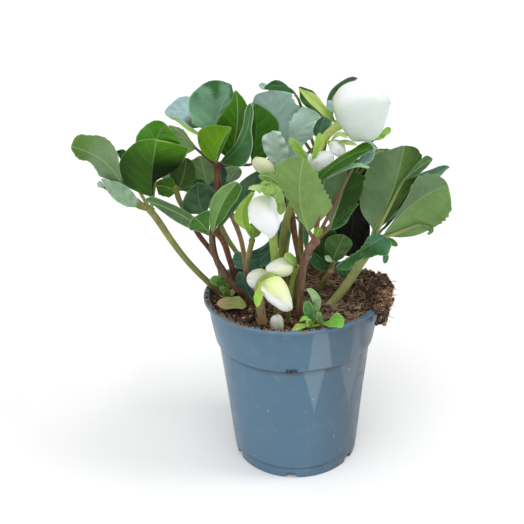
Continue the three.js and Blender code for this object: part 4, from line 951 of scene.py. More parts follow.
def half_width(wide, t, look):
    """How far a leaflet's half reaches from its midrib at t along it."""
    if isinstance(wide, list):
        return np.maximum(through([0, *wide, 0], np.arccos(1 - 2 * t) / np.pi), 0)
    swell = np.clip(np.sin(np.pi * t ** (math.log(0.5) / math.log(look["peak"]))), 0, 1)
    return wide * swell ** np.where(t < look["peak"], look["full"][0], look["full"][1])


def midrib(base, mid, tip, face, t):
    """A parabola through base, mid and tip, with the ways to its right and to its face at each t."""
    a, m, c = (np.array(p, float) for p in (base, mid, tip))
    control = 2 * m - (a + c) / 2
    line = ((1 - t) ** 2)[:, None] * a + (2 * t * (1 - t))[:, None] * control + (t ** 2)[:, None] * c
    along = unit(2 * (1 - t)[:, None] * (control - a) + 2 * t[:, None] * (c - control))
    up = unit(np.array(face, float) - along * (along @ np.array(face, float))[:, None])
    return line, np.cross(along, up), up


def leaflet_surface(base, mid, tip, face, wide, fold, look):
    """The middle surface of one leaflet, and its lines: mm from midrib, vein count, mm from margin."""
    t = (1 - np.cos(np.linspace(0, np.pi, look["rows"]))) / 2
    s = np.linspace(-1, 1, look["columns"])
    s = np.sign(s) * np.abs(s) ** 1.25
    line, side, up = midrib(base, mid, tip, face, t)
    length = np.linalg.norm(np.diff(line, axis=0), axis=1).sum()
    teeth = look["teeth"] * ((t * length / look["tooth"]) % 1) ** 1.4
    teeth = teeth * smooth(t, look["toothed_from"], look["toothed_from"] + 0.15) * smooth(1 - t, 0, 0.05)
    left, right = (half_width(w, t, look)[:, None] for w in wide)
    half = np.where(s[None, :] < 0, left, right)
    stem = STEM - 0.35 * smooth(t, 0.85, 1.0)
    reach = np.maximum(half, stem[:, None]) + teeth[:, None] * np.abs(s)[None, :]
    angle = np.radians(np.where(s < 0, *np.broadcast_to(fold, 2)))
    crease = np.sqrt(s ** 2 + 0.002) - math.sqrt(0.002)
    out = reach * s * np.cos(angle)
    lift = reach * (crease * np.sin(angle) + look["cup"] * s * s)
    count = max(length / look["spacing"], 2)
    phase = count * (t[:, None] - look["slant"] * np.abs(s)[None, :] ** 0.85) + np.where(s < 0, 0.0, 0.42)
    wave = np.sin(2 * np.pi * (look["ruffles"] * t[:, None] + np.where(s < 0, 0.1, 0.63)))
    seed = float(np.dot(base, (1.3, 2.1, 0.7)) + np.dot(tip, (0.9, 0.4, 1.7))) % 50
    rough = noise(line[:, None] + side[:, None] * out[..., None], 11, seed)
    limp = look["ruffle"] * np.minimum(reach / 5, 1)
    lift = lift + limp * (wave + 0.9 * rough) * s ** 2
    away = np.abs((phase + 0.5) % 1 - 0.5) * 2
    lift = lift + look["pucker"] * (smooth(away, 0, 0.8) - 0.5) * (np.sin(np.pi * np.abs(s)) ** 0.7)[None, :]
    points = line[:, None] + side[:, None] * out[..., None] + up[:, None] * lift[..., None]
    margin = np.minimum((1 - np.abs(s))[None, :] * reach, ((1 - t) * length * 0.9)[:, None] + 0.05)
    return points, np.stack([np.abs(s)[None, :] * reach, phase, margin], -1), t, s, reach


def leaflet_tone(tone, look, points, t, s):
    """One side's colours, with the margin's paleness as a fourth value."""
    left, right = tone if isinstance(tone[0], tuple) else (tone, tone)
    share = smooth(s, -0.04, 0.04)[None, :, None]
    colours = np.array(left) * (1 - share) + np.array(right) * share + np.zeros((len(t), 1, 1))
    for end, low, high in (("base_tone", 0.5, 0.15), ("tip_tone", 0.55, 1.0)):
        if look[end]:
            mix = smooth(t, low, high) if high > low else 1 - smooth(t, high, low)
            colours = colours + (np.array(look[end]) - colours) * mix[:, None, None]
    if look["blotch"]:
        patch = smooth(noise(points, 6, 8), 0.05, 0.3)[..., None] * smooth(t, 0.35, 0.7)[:, None, None]
        colours = colours + (np.array(look["blotch"]) - colours) * patch
    shade = np.where(s < 0, *look["edge_shade"]) * np.abs(s)
    uneven = 1 + 0.12 * noise(points, 9, 4) + 0.07 * noise(points, 3, 5) - shade[None, :]
    return np.concatenate([colours * uneven[..., None], np.full((*uneven.shape, 1), look["rim"])], -1)


def add_leaflet(piece, base, mid, tip, face, wide, fold, looks):
    coarse = SMALL if math.dist(base, tip) < SMALL_SPAN else {}
    look = {**LEAFLET, **coarse, **looks}
    points, lines, t, s, reach = leaflet_surface(base, mid, tip, face, wide, fold, look)
    narrow = np.clip(reach / 3, 0.35, 1)
    half = look["thick"] / 2 * (0.45 + 0.55 * smooth(1 - np.abs(s), 0, 0.12))[None, :] * narrow ** 0.3
    ridge = look["keel"] * np.exp(-(lines[..., 0] / 0.5) ** 2) * (1 - 0.85 * t[:, None])
    tones = [leaflet_tone(look[side], look, points, t, s) for side in ("upper", "under")]
    piece.sheet(points, half - 0.25 * ridge, half + ridge, tones, lines)


def add_foliage(piece, hub, knob, leaflets, tone, twig=2.4):
    """The blade of one leaf: its knob, the short twigs to its leaflets, and the leaflets."""
    piece.knob(hub, knob, tone, rough=0.15, seed=3)
    hub = np.array(hub, float)
    for leaflet in leaflets:
        base = np.array(leaflet[0], float)
        reach = np.linalg.norm(base - hub)
        if reach > 1:
            ahead = unit(np.array(leaflet[1], float) - base)
            piece.tube(curve_through([hub, (hub + base) / 2, base, base + ahead * 2], 12),
                       np.linspace(twig / 2, 0.8, 12), gradient([tone, tone, UNDER_GREEN], 12), ribs=0.05)
        add_leaflet(piece, *leaflet)


ROUND = {"full": (0.62, 0.42), "peak": 0.56}
DARK_BACK = {"under": UNDER_DARK, "teeth": 0.1}
# A leaf is (stalk's diameter, stalk's route, its tones from foot to hub, leaflets).
# Pale grey-blue upper tones in the leaflets below are waxy bloom together with a painted reflection of the
# bright sky on the glossy upper sides.
LEAVES = {
    "far_left": (
        4.4, [(-36, 5, 84), (-43, 7, 103), (-51, 8, 117), (-58, 7, 126), (-70, 5, 142), (-79, 3, 158),
              (-86, 1, 172), (-90, 0, 179)],
        (BROWN_STALK, paint(112, 108, 60), paint(134, 142, 78), paint(140, 142, 86)), [
        ((-105, -3, 195), (-113, -9, 213.5), (-130, -18, 226), (0.29, 0.91, -0.29),
         ([0.5, 1.5, 4, 9.5, 12.5, 9.5, 7], [2, 6, 11, 8, 5.5, 6, 3]), 6,
         dict(teeth=0.5, under=paint(124, 152, 110), upper=BLUE_GREEN, tip_tone=paint(86, 124, 52),
              ruffle=0.8)),
        ((-97, -2, 182), (-107, -5, 190.5), (-117, -8, 203), (-0.28, -0.79, 0.54),
         ([1, 3.5, 3.5, 1], [3.5, 7, 7.5, 3]), (4, 14),
         dict(upper=paint(150, 182, 152), under=UNDER_GREY, ruffle=1.3, ruffles=4)),
        ((-115.5, -5, 196), (-118, -7, 199), (-120, -8, 200.5), FRONT_MIDDLE, (2, 2), 5,
         dict(upper=paint(170, 196, 182), under=UNDER_GREY)),
        # Painted light: the darker of its two under tones is painted shade on the half that cups away from
        # the light, and its lighter tip tone is a painted lit band where the top curls up.
        ((-87.5, -3, 189), (-85, -10, 208), (-80, -14, 227.5), (0.1, 0.98, -0.15),
         ([0, 1, 2.5, 13, 17, 18.5, 17.5], [22, 23.5, 24, 22, 17.5, 12, 5]), (14, 10),
         dict(cup=0.16, under=(paint(16, 40, 6), paint(48, 88, 22)), tip_tone=paint(72, 124, 18), teeth=0.2,
              rim=1.0)),
        ((-83, 5, 210.5), (-84, 10, 221.5), (-77.5, 14, 231), FRONT_MIDDLE,
         ([7.5, 12.5, 11, 6.5], [13.5, 15, 16, 15.5]), 8, dict(upper=paint(66, 126, 6))),
        ((-105, 2, 211), (-105, 4, 214.5), (-105, 5, 218), FRONT_MIDDLE, ([1, 2.5, 3.5], [1.5, 3.5, 2.5]), 8,
         dict(upper=paint(30, 84, 8), under=UNDER_DARK, rows=24, columns=13)),
    ]),
    "left_back": (
        3.6, [(-30, 15, 84), (-34, 12, 104), (-40, 8, 122), (-53, 6, 146), (-62, 7, 161), (-67, 8, 173),
              (-72, 8, 182), (-74, 8, 191)],
        (BROWN_STALK, BROWN_STALK, RED_STALK, OLIVE_STALK), [
        ((-74, 7, 189), (-80, 7, 192.5), (-86, 6, 193.5), (0.01, 0.99, -0.1),
         ([1.5, 6.5, 5, 3], [5.5, 6.5, 6.5, 5.5]), 5, dict(under=paint(72, 112, 36), teeth=0.1)),
        ((-72.5, 8, 189.5), (-68.5, 12, 199), (-66.5, 14, 209), (-0.09, 0.98, -0.19),
         ([4, 7.5, 7, 4], [5, 8.5, 7.5, 4]), (8, 12), dict(under=paint(58, 84, 40), teeth=0.15)),
        ((-72, 9, 190), (-63.5, 11, 191), (-55.5, 12, 193.5), (0.01, 0.98, -0.2), (3.5, 3.5), 5,
         dict(under=paint(34, 80, 14), upper=DARK_GREEN)),
    ]),
    "centre_left": (
        4.4, [(-26, -6, 84), (-27, -6, 104), (-30, -6, 116), (-39, -7, 128), (-47, -8, 141), (-51, -8, 154),
              (-51, -8, 165), (-47, -6, 180), (-46, -4, 192), (-46, -4, 208)],
        (BROWN_STALK, paint(84, 54, 44), paint(92, 70, 60), paint(90, 54, 44), paint(88, 54, 40)), [
        ((-46, -5, 210), (-43, -13, 222), (-35.5, -18, 234), (0.1, 0.92, -0.39),
         ([1, 2, 2, 1], [11, 18, 13.5, 4.5]), (10, 16),
         dict(under=(paint(62, 110, 14), paint(92, 140, 16)), upper=FRESH_GREEN, ruffle=0.5, teeth=0.2)),
        ((-43.5, -5, 210), (-29, -13, 225.5), (-24, -14, 247), (-0.32, -0.8, 0.5),
         ([1.5, 3, 3.5, 3.5, 3.5, 3.5, 2], [2, 6.5, 11.5, 8, 3, 2.5, 1.5]), 4,
         dict(upper=paint(66, 112, 68), rim=0.9, base_tone=paint(40, 88, 28), teeth=0.15)),
        ((-38, -2, 212), (-32.5, -3, 233), (-32.5, 0, 252.5), BACK_DOWN,
         ([0.5, 2, 3.5, 5.5, 7, 4.5, 1.5], [7, 10, 13, 12, 8.5, 3.5, 1.5]), (14, 10),
         dict(under=(paint(62, 98, 34), paint(56, 104, 10)), tip_tone=paint(60, 112, 6), teeth=0.15)),
        ((-47.5, 1, 228), (-43, 7, 240), (-35.5, 13, 254), (0.15, -0.85, 0.51),
         ([12.5, 14.5, 18, 19.5, 17.5, 14, 8], [1, 2.5, 3, 4, 5, 4.5, 1.5]), 5,
         dict(upper=paint(98, 140, 110), teeth=0.15, blotch=paint(50, 98, 50))),
        ((-24.5, 1, 207), (-21.5, 6, 224), (-21.5, 12, 242.5), (0.2, -0.82, 0.54),
         ([0.5, 2, 3, 3.5, 3.5, 3, 1], [4, 8, 11.5, 14, 14, 9, 3]), (12, 8),
         dict(upper=(paint(26, 72, 4), paint(44, 98, 6)), teeth=0.3)),
        ((-54.5, 12, 229.5), (-66, 28, 235.5), (-80.5, 36, 234.5), FRONT_MIDDLE,
         ([8, 8.5, 9, 8.5, 7.5, 5.5, 2.5], [0.5, 2.5, 7, 11, 10, 5.5, 2.5]), 5,
         dict(upper=paint(152, 180, 184), ruffle=0.4, base_tone=paint(64, 84, 50))),
        ((-54.5, -3, 226), (-65.5, 8, 231.5), (-77.5, 16, 236.5), FRONT_MIDDLE,
         ([1.5, 2.5, 1, 0.5], [1, 1, 2, 0.5]), 25,
         dict(upper=(paint(150, 190, 60), paint(150, 182, 172)), under=LIME, ruffle=0.2)),
        ((-59.5, 10, 216), (-66.5, 16, 222.5), (-76.5, 20, 229), (0.01, 0.98, -0.2),
         ([0.5, 1, 2.5, 1], [8, 8, 6, 2.5]), 5, dict(under=paint(140, 168, 116), ruffle=0.3)),
    ]),
    "low_left": (
        4, [(-25, 5, 84), (-31, 5, 104), (-38, 4, 117), (-39, 0, 131), (-41, -10, 148), (-44, -22, 166),
            (-47, -27, 173)],
        (BROWN_STALK, BROWN_STALK, RED_STALK, BROWN_STALK), [
        ((-52.5, -26, 171.5), (-70, -22, 184), (-90, -18, 191.5), (0.01, 0.99, -0.1),
         ([2.5, 3.5, 3.5, 3.5], [2.5, 5.5, 4.5, 1]), (6, 10),
         dict(under=paint(84, 116, 76), upper=BLUE_GREEN, rim=0.5, ruffle=0.5, teeth=0.1)),
        ((-51.5, -27, 172.5), (-55.5, -34, 181.5), (-59.5, -37, 186.5), (0.1, 0.95, -0.29),
         ([1, 4.5, 8.5, 1], [3, 7.5, 7.5, 5]), 8, dict(under=paint(66, 112, 48), rim=0.9, teeth=0.1)),
        ((-49.5, -27, 172), (-42.5, -38, 193.5), (-32.5, -42, 208), (-0.14, 0.95, -0.28),
         ([0.5, 2.5, 5, 6, 6.5, 5.5, 4], [1, 3, 5, 6.5, 5.5, 3.5, 1.5]), 10,
         dict(under=(paint(66, 108, 42), paint(104, 138, 78)), rim=1.0, teeth=0.1, cup=0.1)),
        ((-48, -26, 172), (-32, -20, 188.5), (-13.5, -12, 204.5), (-0.19, -0.86, 0.47),
         ([1.5, 4, 9, 6.5], [0, 0.5, 1.5, 1.5]), 8,
         dict(upper=paint(56, 90, 60), under=UNDER_DARK, rim=0.4, teeth=0.1)),
        ((-53.5, -22, 181.5), (-57.5, -16, 190), (-57.5, -12, 200), (0, -0.86, 0.52),
         ([2, 10.5, 8, 2.5], [2.5, 7, 10, 8]), 6,
         dict(DARK_BACK, upper=paint(46, 76, 46))),
    ]),
    "behind_left": (
        3.6, [(-22, 21, 84), (-30, 24, 104), (-33, 22, 141), (-36, 20, 157), (-45, 20, 183)],
        (BROWN_STALK, TAN_STALK, TAN_STALK, RED_STALK), [
        ((-55, 14, 190.5), (-56, 17, 198.5), (-58.5, 20, 208.5), BACK_DOWN,
         ([4, 6.5, 7, 5], [5, 7.5, 8, 6]), 8, dict(under=paint(118, 148, 100), teeth=0.1)),
        ((-42, 18, 190), (-37.5, 18, 195), (-32.5, 18, 200), (0, 0.96, -0.29),
         ([1, 3, 4, 3], [1, 3, 3, 1]), 8, dict(under=paint(128, 152, 118), teeth=0.1)),
    ]),
    "lime_low": (3.4, [(-18, 12, 84), (-28, 12, 104), (-31, 2, 131), (-29, -10, 148), (-26, -20, 164)],
        (TAN_STALK, TAN_STALK, TAN_STALK, OLIVE_STALK), [
        ((-26, -21, 166.5), (-31, -29, 184.5), (-23.5, -36, 199.5), (0.36, 0.77, -0.53),
         ([1, 4, 4, 4.5, 3.5, 2, 1], [0, 0, 7.5, 5, 3.5, 2, 1.5]), (12, 8),
         dict(under=(paint(128, 172, 54), paint(160, 196, 84)), upper=LIME, rim=0.6, teeth=0.1)),
        ((-26, -21, 165.5), (-25, -23, 170.5), (-25.5, -24, 177), (0, 0.92, -0.38),
         ([1.5, 5, 2], [2, 4, 3]), 8, dict(under=paint(100, 132, 46), teeth=0.1)),
    ]),
    "centre": (
        5, [(2, -17, 84), (2, -30, 104), (2, -34, 114), (3, -34, 136), (5, -34, 152), (8, -35, 162),
            (12, -35, 168)],
        (paint(84, 50, 38), paint(92, 58, 46), paint(104, 74, 60), paint(120, 84, 70)), [
        ((8, -36, 174.5), (2.5, -41, 197.5), (5.5, -35, 219), BACK_DOWN,
         ([20, 19.5, 18, 15.5, 12.5, 9, 3.5], [0.5, 1.5, 3, 6.5, 12, 13.5, 7]), 8,
         dict(under=paint(118, 148, 84), teeth=1.7, tooth=5.2, toothed_from=0.12, cup=0.06)),
        # The darker of its two under tones is painted shade on the half folded away from the light.
        ((21.5, -32, 177.5), (28, -26, 192.5), (32, -20, 207), (-0.09, 0.98, -0.19),
         ([1.5, 3.5, 6, 12.5, 14, 13.5, 14], [2, 6.5, 10.5, 13, 12.5, 8, 2.5]), (22, 24),
         dict(under=(paint(32, 62, 14), paint(96, 126, 88)), upper=DARK_GREEN, teeth=0.2)),
        ((14, -31, 203.5), (29, -27, 215), (47.5, -22, 219.5), (-0.07, -0.59, 0.8),
         ([3.5, 3, 3.5, 5.5], [2, 5.5, 5, 1.5]), (6, 10),
         dict(upper=(paint(46, 98, 2), paint(36, 84, 2)), teeth=0.2)),
        ((17.5, -31, 204.5), (32.5, -27, 211), (45, -22, 208.5), (0.1, -0.65, 0.75),
         ([0, 0, 1.5, 1], [1, 2, 1.5, 1.5]), (10, 5),
         dict(upper=paint(150, 188, 158), under=UNDER_GREY, ruffle=0.2, teeth=0.1)),
        ((37, -22, 211), (43, -21, 214), (47.5, -20, 218), FRONT_HIGH,
         ([1, 2.5, 2, 1], [1, 3.5, 3.5, 1.5]), 5,
         dict(upper=paint(110, 144, 140), under=UNDER_GREY, ruffle=0.3)),
        ((-6, -34, 198), (-12.5, -40, 208.5), (-20.5, -44, 211.5), (0.1, 0.87, -0.47),
         ([0.5, 1.5, 3, 1.5], [1, 2, 2, 2.5]), 10,
         dict(under=paint(114, 152, 78), teeth=0.4, tooth=2.4, toothed_from=0.2, rim=0.6)),
        ((12, -35, 168), (13, -36, 173), (15, -37, 177), (0, 0.92, -0.38), (2.5, 2.5), 10,
         dict(under=paint(112, 148, 42), upper=FRESH_GREEN)),
        ((20.5, -30, 173.5), (31, -20, 178), (40.5, -14, 183.5), (-0.09, -0.77, 0.63),
         ([1, 4, 5, 2.5], [3, 4.5, 2, 0.5]), (10, 12),
         dict(DARK_BACK, upper=paint(42, 88, 30))),
    ]),
    "right": (
        6.2, [(11, -8, 84), (13, -10, 100), (20, -10, 109), (28, -8, 117), (36, -6, 127), (42, -5, 137),
              (48, -3, 146), (51, -2, 153)],
        (paint(128, 122, 72), paint(158, 164, 98), paint(172, 182, 112), paint(152, 160, 100)), [
        ((52, -2, 160.5), (63.5, 2, 184), (69.5, -2, 216), BACK_DOWN,
         ([1, 4, 6.5, 9.5, 12.5, 13.5, 9.5], [2.5, 12.5, 17.5, 20.5, 19, 17, 7]), (8, 16),
         dict(under=(paint(88, 120, 56), paint(106, 134, 94)), teeth=1.2, tooth=5.5, toothed_from=0.6,
              edge_shade=(0.55, 0))),
        ((71, 2, 193), (79, 0, 201), (87, -3, 207.5), BACK_DOWN, ([1.5, 3.5, 3, 1.5], [0.5, 2, 3, 3.5]), 6,
         dict(under=paint(92, 122, 80), teeth=0.2)),
        ((59.5, -3, 158.5), (76, -7, 180.5), (95, -13, 193), (-0.14, 0.95, -0.28),
         ([9.5, 17, 20.5, 22.5, 20.5, 17.5, 12], [1, 1, 2.5, 6, 11, 9.5, 5.5]), 8,
         dict(under=(paint(114, 148, 88), paint(108, 134, 98)), teeth=1.6, tooth=5.4, toothed_from=0.5)),
        ((58, 3, 159), (70.5, 7, 173), (82, 9, 194), (-0.28, -0.84, 0.46),
         ([0.5, 2, 1.5, 1], [1, 1, 0, 0]), 5, dict(upper=paint(44, 92, 62), teeth=0.1)),
        ((52, -2, 160.5), (78, 6, 178.5), (100.5, 8, 199.5), FRONT_HIGH, (1.5, 1.5), 20,
         dict(upper=paint(104, 150, 132), teeth=0.1, ruffle=0.2)),
        ((81, -7, 166), (88, -7, 163), (85.5, -9, 160), (0.01, 0.99, -0.1), (1.5, 1.5), 10,
         dict(under=paint(70, 108, 56), upper=DARK_GREEN, teeth=0.1, ruffle=0.1)),
        ((59, -4, 157.5), (42.5, -20, 155.5), (25, -30, 148.5), (0.1, -0.59, 0.8),
         ([6, 10, 12, 7, 5, 6, 3.5], [5, 5.5, 4, 1, 0, 0, 0.5]), 8,
         dict(upper=paint(40, 88, 36), teeth=0.8, tooth=4.5, toothed_from=0.1, base_tone=paint(70, 116, 84),
              ruffle=1.3, ruffles=3)),
        ((59, -12, 153), (58.5, -14, 148), (57.5, -16, 144), (0.2, -0.76, 0.62), (2, 2), 10,
         dict(upper=paint(74, 122, 92), teeth=0.1, ruffle=0.1)),
        ((59.5, 0, 156.5), (64.5, 1, 152), (69, 2, 149), FRONT_STEEP, (2.5, 2.5), 8,
         dict(upper=paint(56, 108, 10), teeth=0.1, ruffle=0.2)),
    ]),
    "small_right": (3.6, [(12, 5, 84), (13, 11, 104), (18, 12, 114), (22, 8, 123), (25, 2, 132)],
        (OLIVE_STALK, OLIVE_STALK, OLIVE_STALK, TAN_STALK), [
        ((25.5, 2, 137), (29, 0, 148), (33.5, 0, 158), BACK_DOWN, ([2.5, 6.5, 8, 7], [1.5, 7, 9, 5]), (6, 8),
         dict(under=paint(84, 118, 66), teeth=0.2, rim=0.4)),
        ((27, -1, 140), (23.5, -4, 143), (21, -4, 145.5), FRONT_HIGH, (2, 2), 8,
         dict(upper=paint(160, 190, 148), under=UNDER_GREY, ruffle=0.2, teeth=0)),
        ((23.5, 2, 132), (17, -4, 140.5), (12, -6, 150), FRONT_STEEP, ([1, 4, 5.5, 2], [5.5, 5, 3, 1]), 10,
         dict(DARK_BACK, upper=paint(34, 80, 36))),
        ((25.5, 3, 133), (32, 3, 131.5), (34.5, 1, 126.5), FRONT_STEEP, (3, 3), 10,
         dict(DARK_BACK, upper=paint(36, 84, 42))),
        ((24.5, 4, 133.5), (20.5, 7, 147.5), (20, 9, 161.5), FRONT_LOW,
         ([1, 5, 8.5, 7.5, 6, 4.5, 1.5], [1, 4, 7, 10, 10, 9.5, 6]), 6,
         dict(upper=paint(46, 80, 24), under=UNDER_DARK, teeth=0.1, rim=0.2)),
    ]),
    "top_pale": (
        4, [(2, -6, 84), (0, -10, 106), (1, -16, 126), (3, -18, 148), (1, -16, 162), (0, -8, 173),
            (-2, 0, 186), (-2, 8, 199)],
        (BROWN_STALK, OLIVE_STALK, RED_STALK, OLIVE_STALK), [
        ((0, 8, 200.5), (-8, 16, 224.5), (-10.5, 20, 248.5), FRONT_LOW,
         ([0, 1, 2, 4.5, 9, 12.5, 9], [2.5, 8.5, 12.5, 16, 17, 13, 11]), 6,
         dict(upper=paint(154, 182, 174), under=UNDER_GREY, teeth=1.3, tooth=5)),
        ((0, 5, 202.5), (4, 7, 222.5), (18.5, 9, 234.5), (0.1, -0.88, 0.47),
         ([0, 1, 3, 5.5, 8.5, 8.5, 2.5], [1.5, 5, 5.5, 7, 8, 3, 1.5]), 6,
         dict(upper=paint(160, 188, 180), under=UNDER_GREY, teeth=1.5, tooth=5, ruffle=0.9)),
        ((-6, 0, 201.5), (-10, -5, 217), (-11.5, -7, 229), (-0.1, -0.87, 0.47),
         ([1, 3, 5, 6.5, 7, 6, 1], [1, 3, 7.5, 8, 7, 5.5, 5]), (6, 10),
         dict(upper=paint(192, 214, 206), under=UNDER_GREY, ruffle=1.3, ruffles=4, teeth=0.2)),
        ((-0.5, 0, 202.5), (5.5, -3, 211), (10.5, -4, 213), (0.01, -0.83, 0.56),
         ([2, 6, 5, 1], [1, 3.5, 5, 4.5]), 8,
         dict(upper=paint(160, 186, 186), under=UNDER_GREY, ruffle=0.8, teeth=0.1)),
        ((18.5, 10, 217.5), (19.5, 11, 226), (22.5, 11, 233.5), (0.1, -0.88, 0.47),
         ([1.5, 5, 4, 2], [1.5, 4, 5, 5]), 5, dict(upper=paint(78, 118, 92), under=UNDER_GREY, teeth=0.2)),
    ]),
    "top_back": (4, [(4, 13, 84), (7, 28, 128), (9, 30, 165), (21, 30, 197)],
        (BROWN_STALK, OLIVE_STALK, OLIVE_STALK, OLIVE_STALK), [
        ((5.5, 24, 243.5), (-2.5, 30, 249.5), (-15, 32, 248), FRONT_HIGH,
         ([1, 4, 5.5, 2.5], [0, 0.5, 3.5, 2.5]), 8,
         dict(DARK_BACK, upper=paint(34, 82, 34))),
        ((-12, 33, 247.5), (-15, 34, 249), (-18.5, 34, 250), FRONT_MIDDLE, (2.5, 2.5), 8,
         dict(upper=SILVER_SHEEN, under=UNDER_GREY, ruffle=0.2, teeth=0)),
        ((21, 14, 232), (12.5, 17, 240.5), (6.5, 19, 250.5), FRONT_LOW,
         ([0.5, 2.5, 3.5, 1], [2.5, 6.5, 6.5, 3]), 8,
         dict(DARK_BACK, upper=paint(44, 84, 28))),
        ((26, 20, 230), (29.5, 25, 244.5), (44, 28, 253), (-0.1, -0.87, 0.47),
         ([1, 3, 3, 2.5], [2, 2, 1.5, 1]), 10, dict(DARK_BACK, upper=paint(58, 94, 56))),
        ((27, 17, 232.5), (26.5, 18, 237), (24.5, 18, 241.5), FRONT_LOW, (3, 3), 6,
         dict(upper=SILVER_SHEEN, under=UNDER_GREY, teeth=0, ruffle=0.3)),
    ]),
    "behind_bud": (3.6, [(12, 16, 84), (20, 22, 106), (34, 26, 140), (40, 26, 170), (41, 26, 186)],
        (BROWN_STALK, OLIVE_STALK, OLIVE_STALK, OLIVE_STALK), [
        ((53.5, 22, 214), (58.5, 22, 218.5), (65.5, 22, 221.5), FRONT_MIDDLE,
         ([0, 0.5, 1.5, 2], [1, 3.5, 3.5, 2.5]), 10,
         dict(upper=paint(150, 192, 80), under=LIME, ruffle=0.8, teeth=0.2, rows=32, columns=13)),
        ((41.5, 18, 208), (50, 19, 211.5), (57, 19, 209), FRONT_MIDDLE,
         ([1, 2.5, 3, 1], [1.5, 3.5, 3.5, 2.5]), 8, dict(upper=SILVER_SHEEN, ruffle=0.8, teeth=0.1)),
        ((58, 8, 198.5), (55.5, 10, 205), (59, 11, 210.5), (0, 0.92, -0.38),
         ([3.5, 6.5, 6.5, 6.5], [0.5, 2.5, 3.5, 1.5]), 6, dict(under=paint(146, 174, 112), teeth=0.2)),
        ((52.5, 14, 203.5), (57.5, 15, 209), (64, 15, 209.5), FRONT_HIGH,
         ([0.5, 2, 1, 0], [1, 3, 4.5, 3.5]), 8, dict(DARK_BACK, upper=paint(50, 96, 14))),
        # These two near-black leaflets deep in the foliage are painted shade: dark sheets that fill the
        # shadow behind the stalks.
        ((42.5, 21, 184.5), (41.5, 17, 166.5), (39, 11, 138.5), (0, -0.92, 0.38),
         ([0.5, 2.5, 6, 9.5, 12, 11.5, 8], [1, 3.5, 8, 10, 12.5, 12.5, 8.5]), 5,
         dict(upper=paint(3, 6, 2), under=paint(40, 70, 26), teeth=0.1, rim=0.1)),
        ((42.5, 26, 180.5), (45, 26, 190), (51.5, 24, 202), FRONT_LOW,
         ([2, 6.5, 8, 4.5], [6.5, 8, 9, 6.5]), 5,
         dict(upper=paint(30, 56, 14), under=paint(40, 70, 26), teeth=0.1)),
    ]),
    "back_left": (4, [(-14, 22, 84), (-20, 32, 106), (-44, 46, 140), (-56, 52, 166)],
        (BROWN_STALK, RED_STALK, OLIVE_STALK, OLIVE_STALK), [
        ((-56, 52, 166), (-88, 58, 188), (-114, 52, 203), (-0.2, -0.2, 1), (12, 12), 12,
         dict(upper=BLUE_GREEN)),
        ((-56, 52, 166), (-70, 76, 184), (-80, 92, 186), (-0.2, 0.5, 0.8), (14, 14), 12, dict(ROUND)),
        ((-56, 52, 166), (-46, 76, 182), (-42, 94, 180), (0, 0.4, 0.9), (13, 13), 12, {}),
        ((-56, 52, 166), (-52, 42, 184), (-52, 38, 200), (0, -0.9, 0.4), (11, 11), 12, dict(upper=TEAL)),
    ]),
    "back_middle": (4, [(-4, 22, 84), (-4, 34, 106), (-2, 52, 130), (2, 62, 152)],
        (BROWN_STALK, BROWN_STALK, OLIVE_STALK, OLIVE_STALK), [
        ((2, 62, 152), (-8, 84, 166), (-14, 102, 162), (-0.1, 0.2, 1), (12, 12), 12,
         dict(ROUND, upper=BLUE_GREEN)),
        ((2, 62, 152), (12, 86, 168), (20, 104, 164), (0.1, 0.2, 1), (13, 13), 12, {}),
        ((2, 62, 152), (-4, 58, 178), (-8, 56, 200), (0, -1, 0.1), (13, 13), 12, dict(upper=DARK_GREEN)),
        ((2, 62, 152), (22, 66, 172), (34, 72, 184), (0.2, -0.6, 0.8), (12, 12), 12, dict(upper=TEAL)),
        ((2, 61, 151.5), (-3.5, 56, 144), (-6, 52, 131), FRONT_LOW, ([1, 3, 6, 5], [0.5, 3.5, 3.5, 2]), 6,
         dict(DARK_BACK, upper=paint(90, 126, 84))),
        ((3, 60, 151.5), (10.5, 54, 146), (12, 48, 129.5), FRONT_LOW, (2.5, 2.5), 6,
         dict(DARK_BACK, upper=paint(80, 116, 70))),
        ((0.5, 60, 151), (-8, 48, 138), (-25.5, 40, 123), FRONT_LOW, ([0, 1, 4.5, 6], [1, 3, 4, 5]), 6,
         dict(upper=paint(42, 80, 40), tip_tone=paint(62, 108, 88), under=UNDER_DARK, teeth=0.1)),
        ((1.5, 60, 151), (-13, 46, 129.5), (-41.5, 36, 127.5), FRONT_LOW,
         ([0, 0, 0, 0, 6.5, 6.5, 4], [1.5, 5, 7.5, 7.5, 7, 6.5, 7]), 6,
         dict(upper=paint(44, 84, 58), tip_tone=paint(76, 118, 100), under=UNDER_DARK, teeth=0.1)),
    ]),
    "back_right": (4, [(6, 22, 84), (16, 34, 106), (36, 42, 132), (52, 46, 156)],
        (BROWN_STALK, RED_STALK, OLIVE_STALK, OLIVE_STALK), [
        ((52, 46, 156), (84, 46, 176), (110, 40, 190), (0.2, -0.3, 0.9), (6, 6), 12,
         dict(upper=BLUE_GREEN)),
        ((52, 46, 156), (74, 62, 174), (92, 74, 176), (0.2, 0.1, 1), (13, 13), 12, {}),
        ((52, 46, 156), (54, 70, 178), (54, 86, 184), (0, 0.2, 1), (13, 13), 12,
         dict(ROUND, upper=GLAUCOUS_SHEEN)),
        ((52, 46, 156), (48, 36, 176), (44, 34, 184), (0, -1, 0.3), (8, 8), 12, dict(upper=DARK_GREEN)),
        ((52, 46, 156), (78, 30, 160), (95, 20, 151), (0.2, -0.2, 1), (5, 5), 12, dict(upper=DARK_GREEN)),
    ]),
}


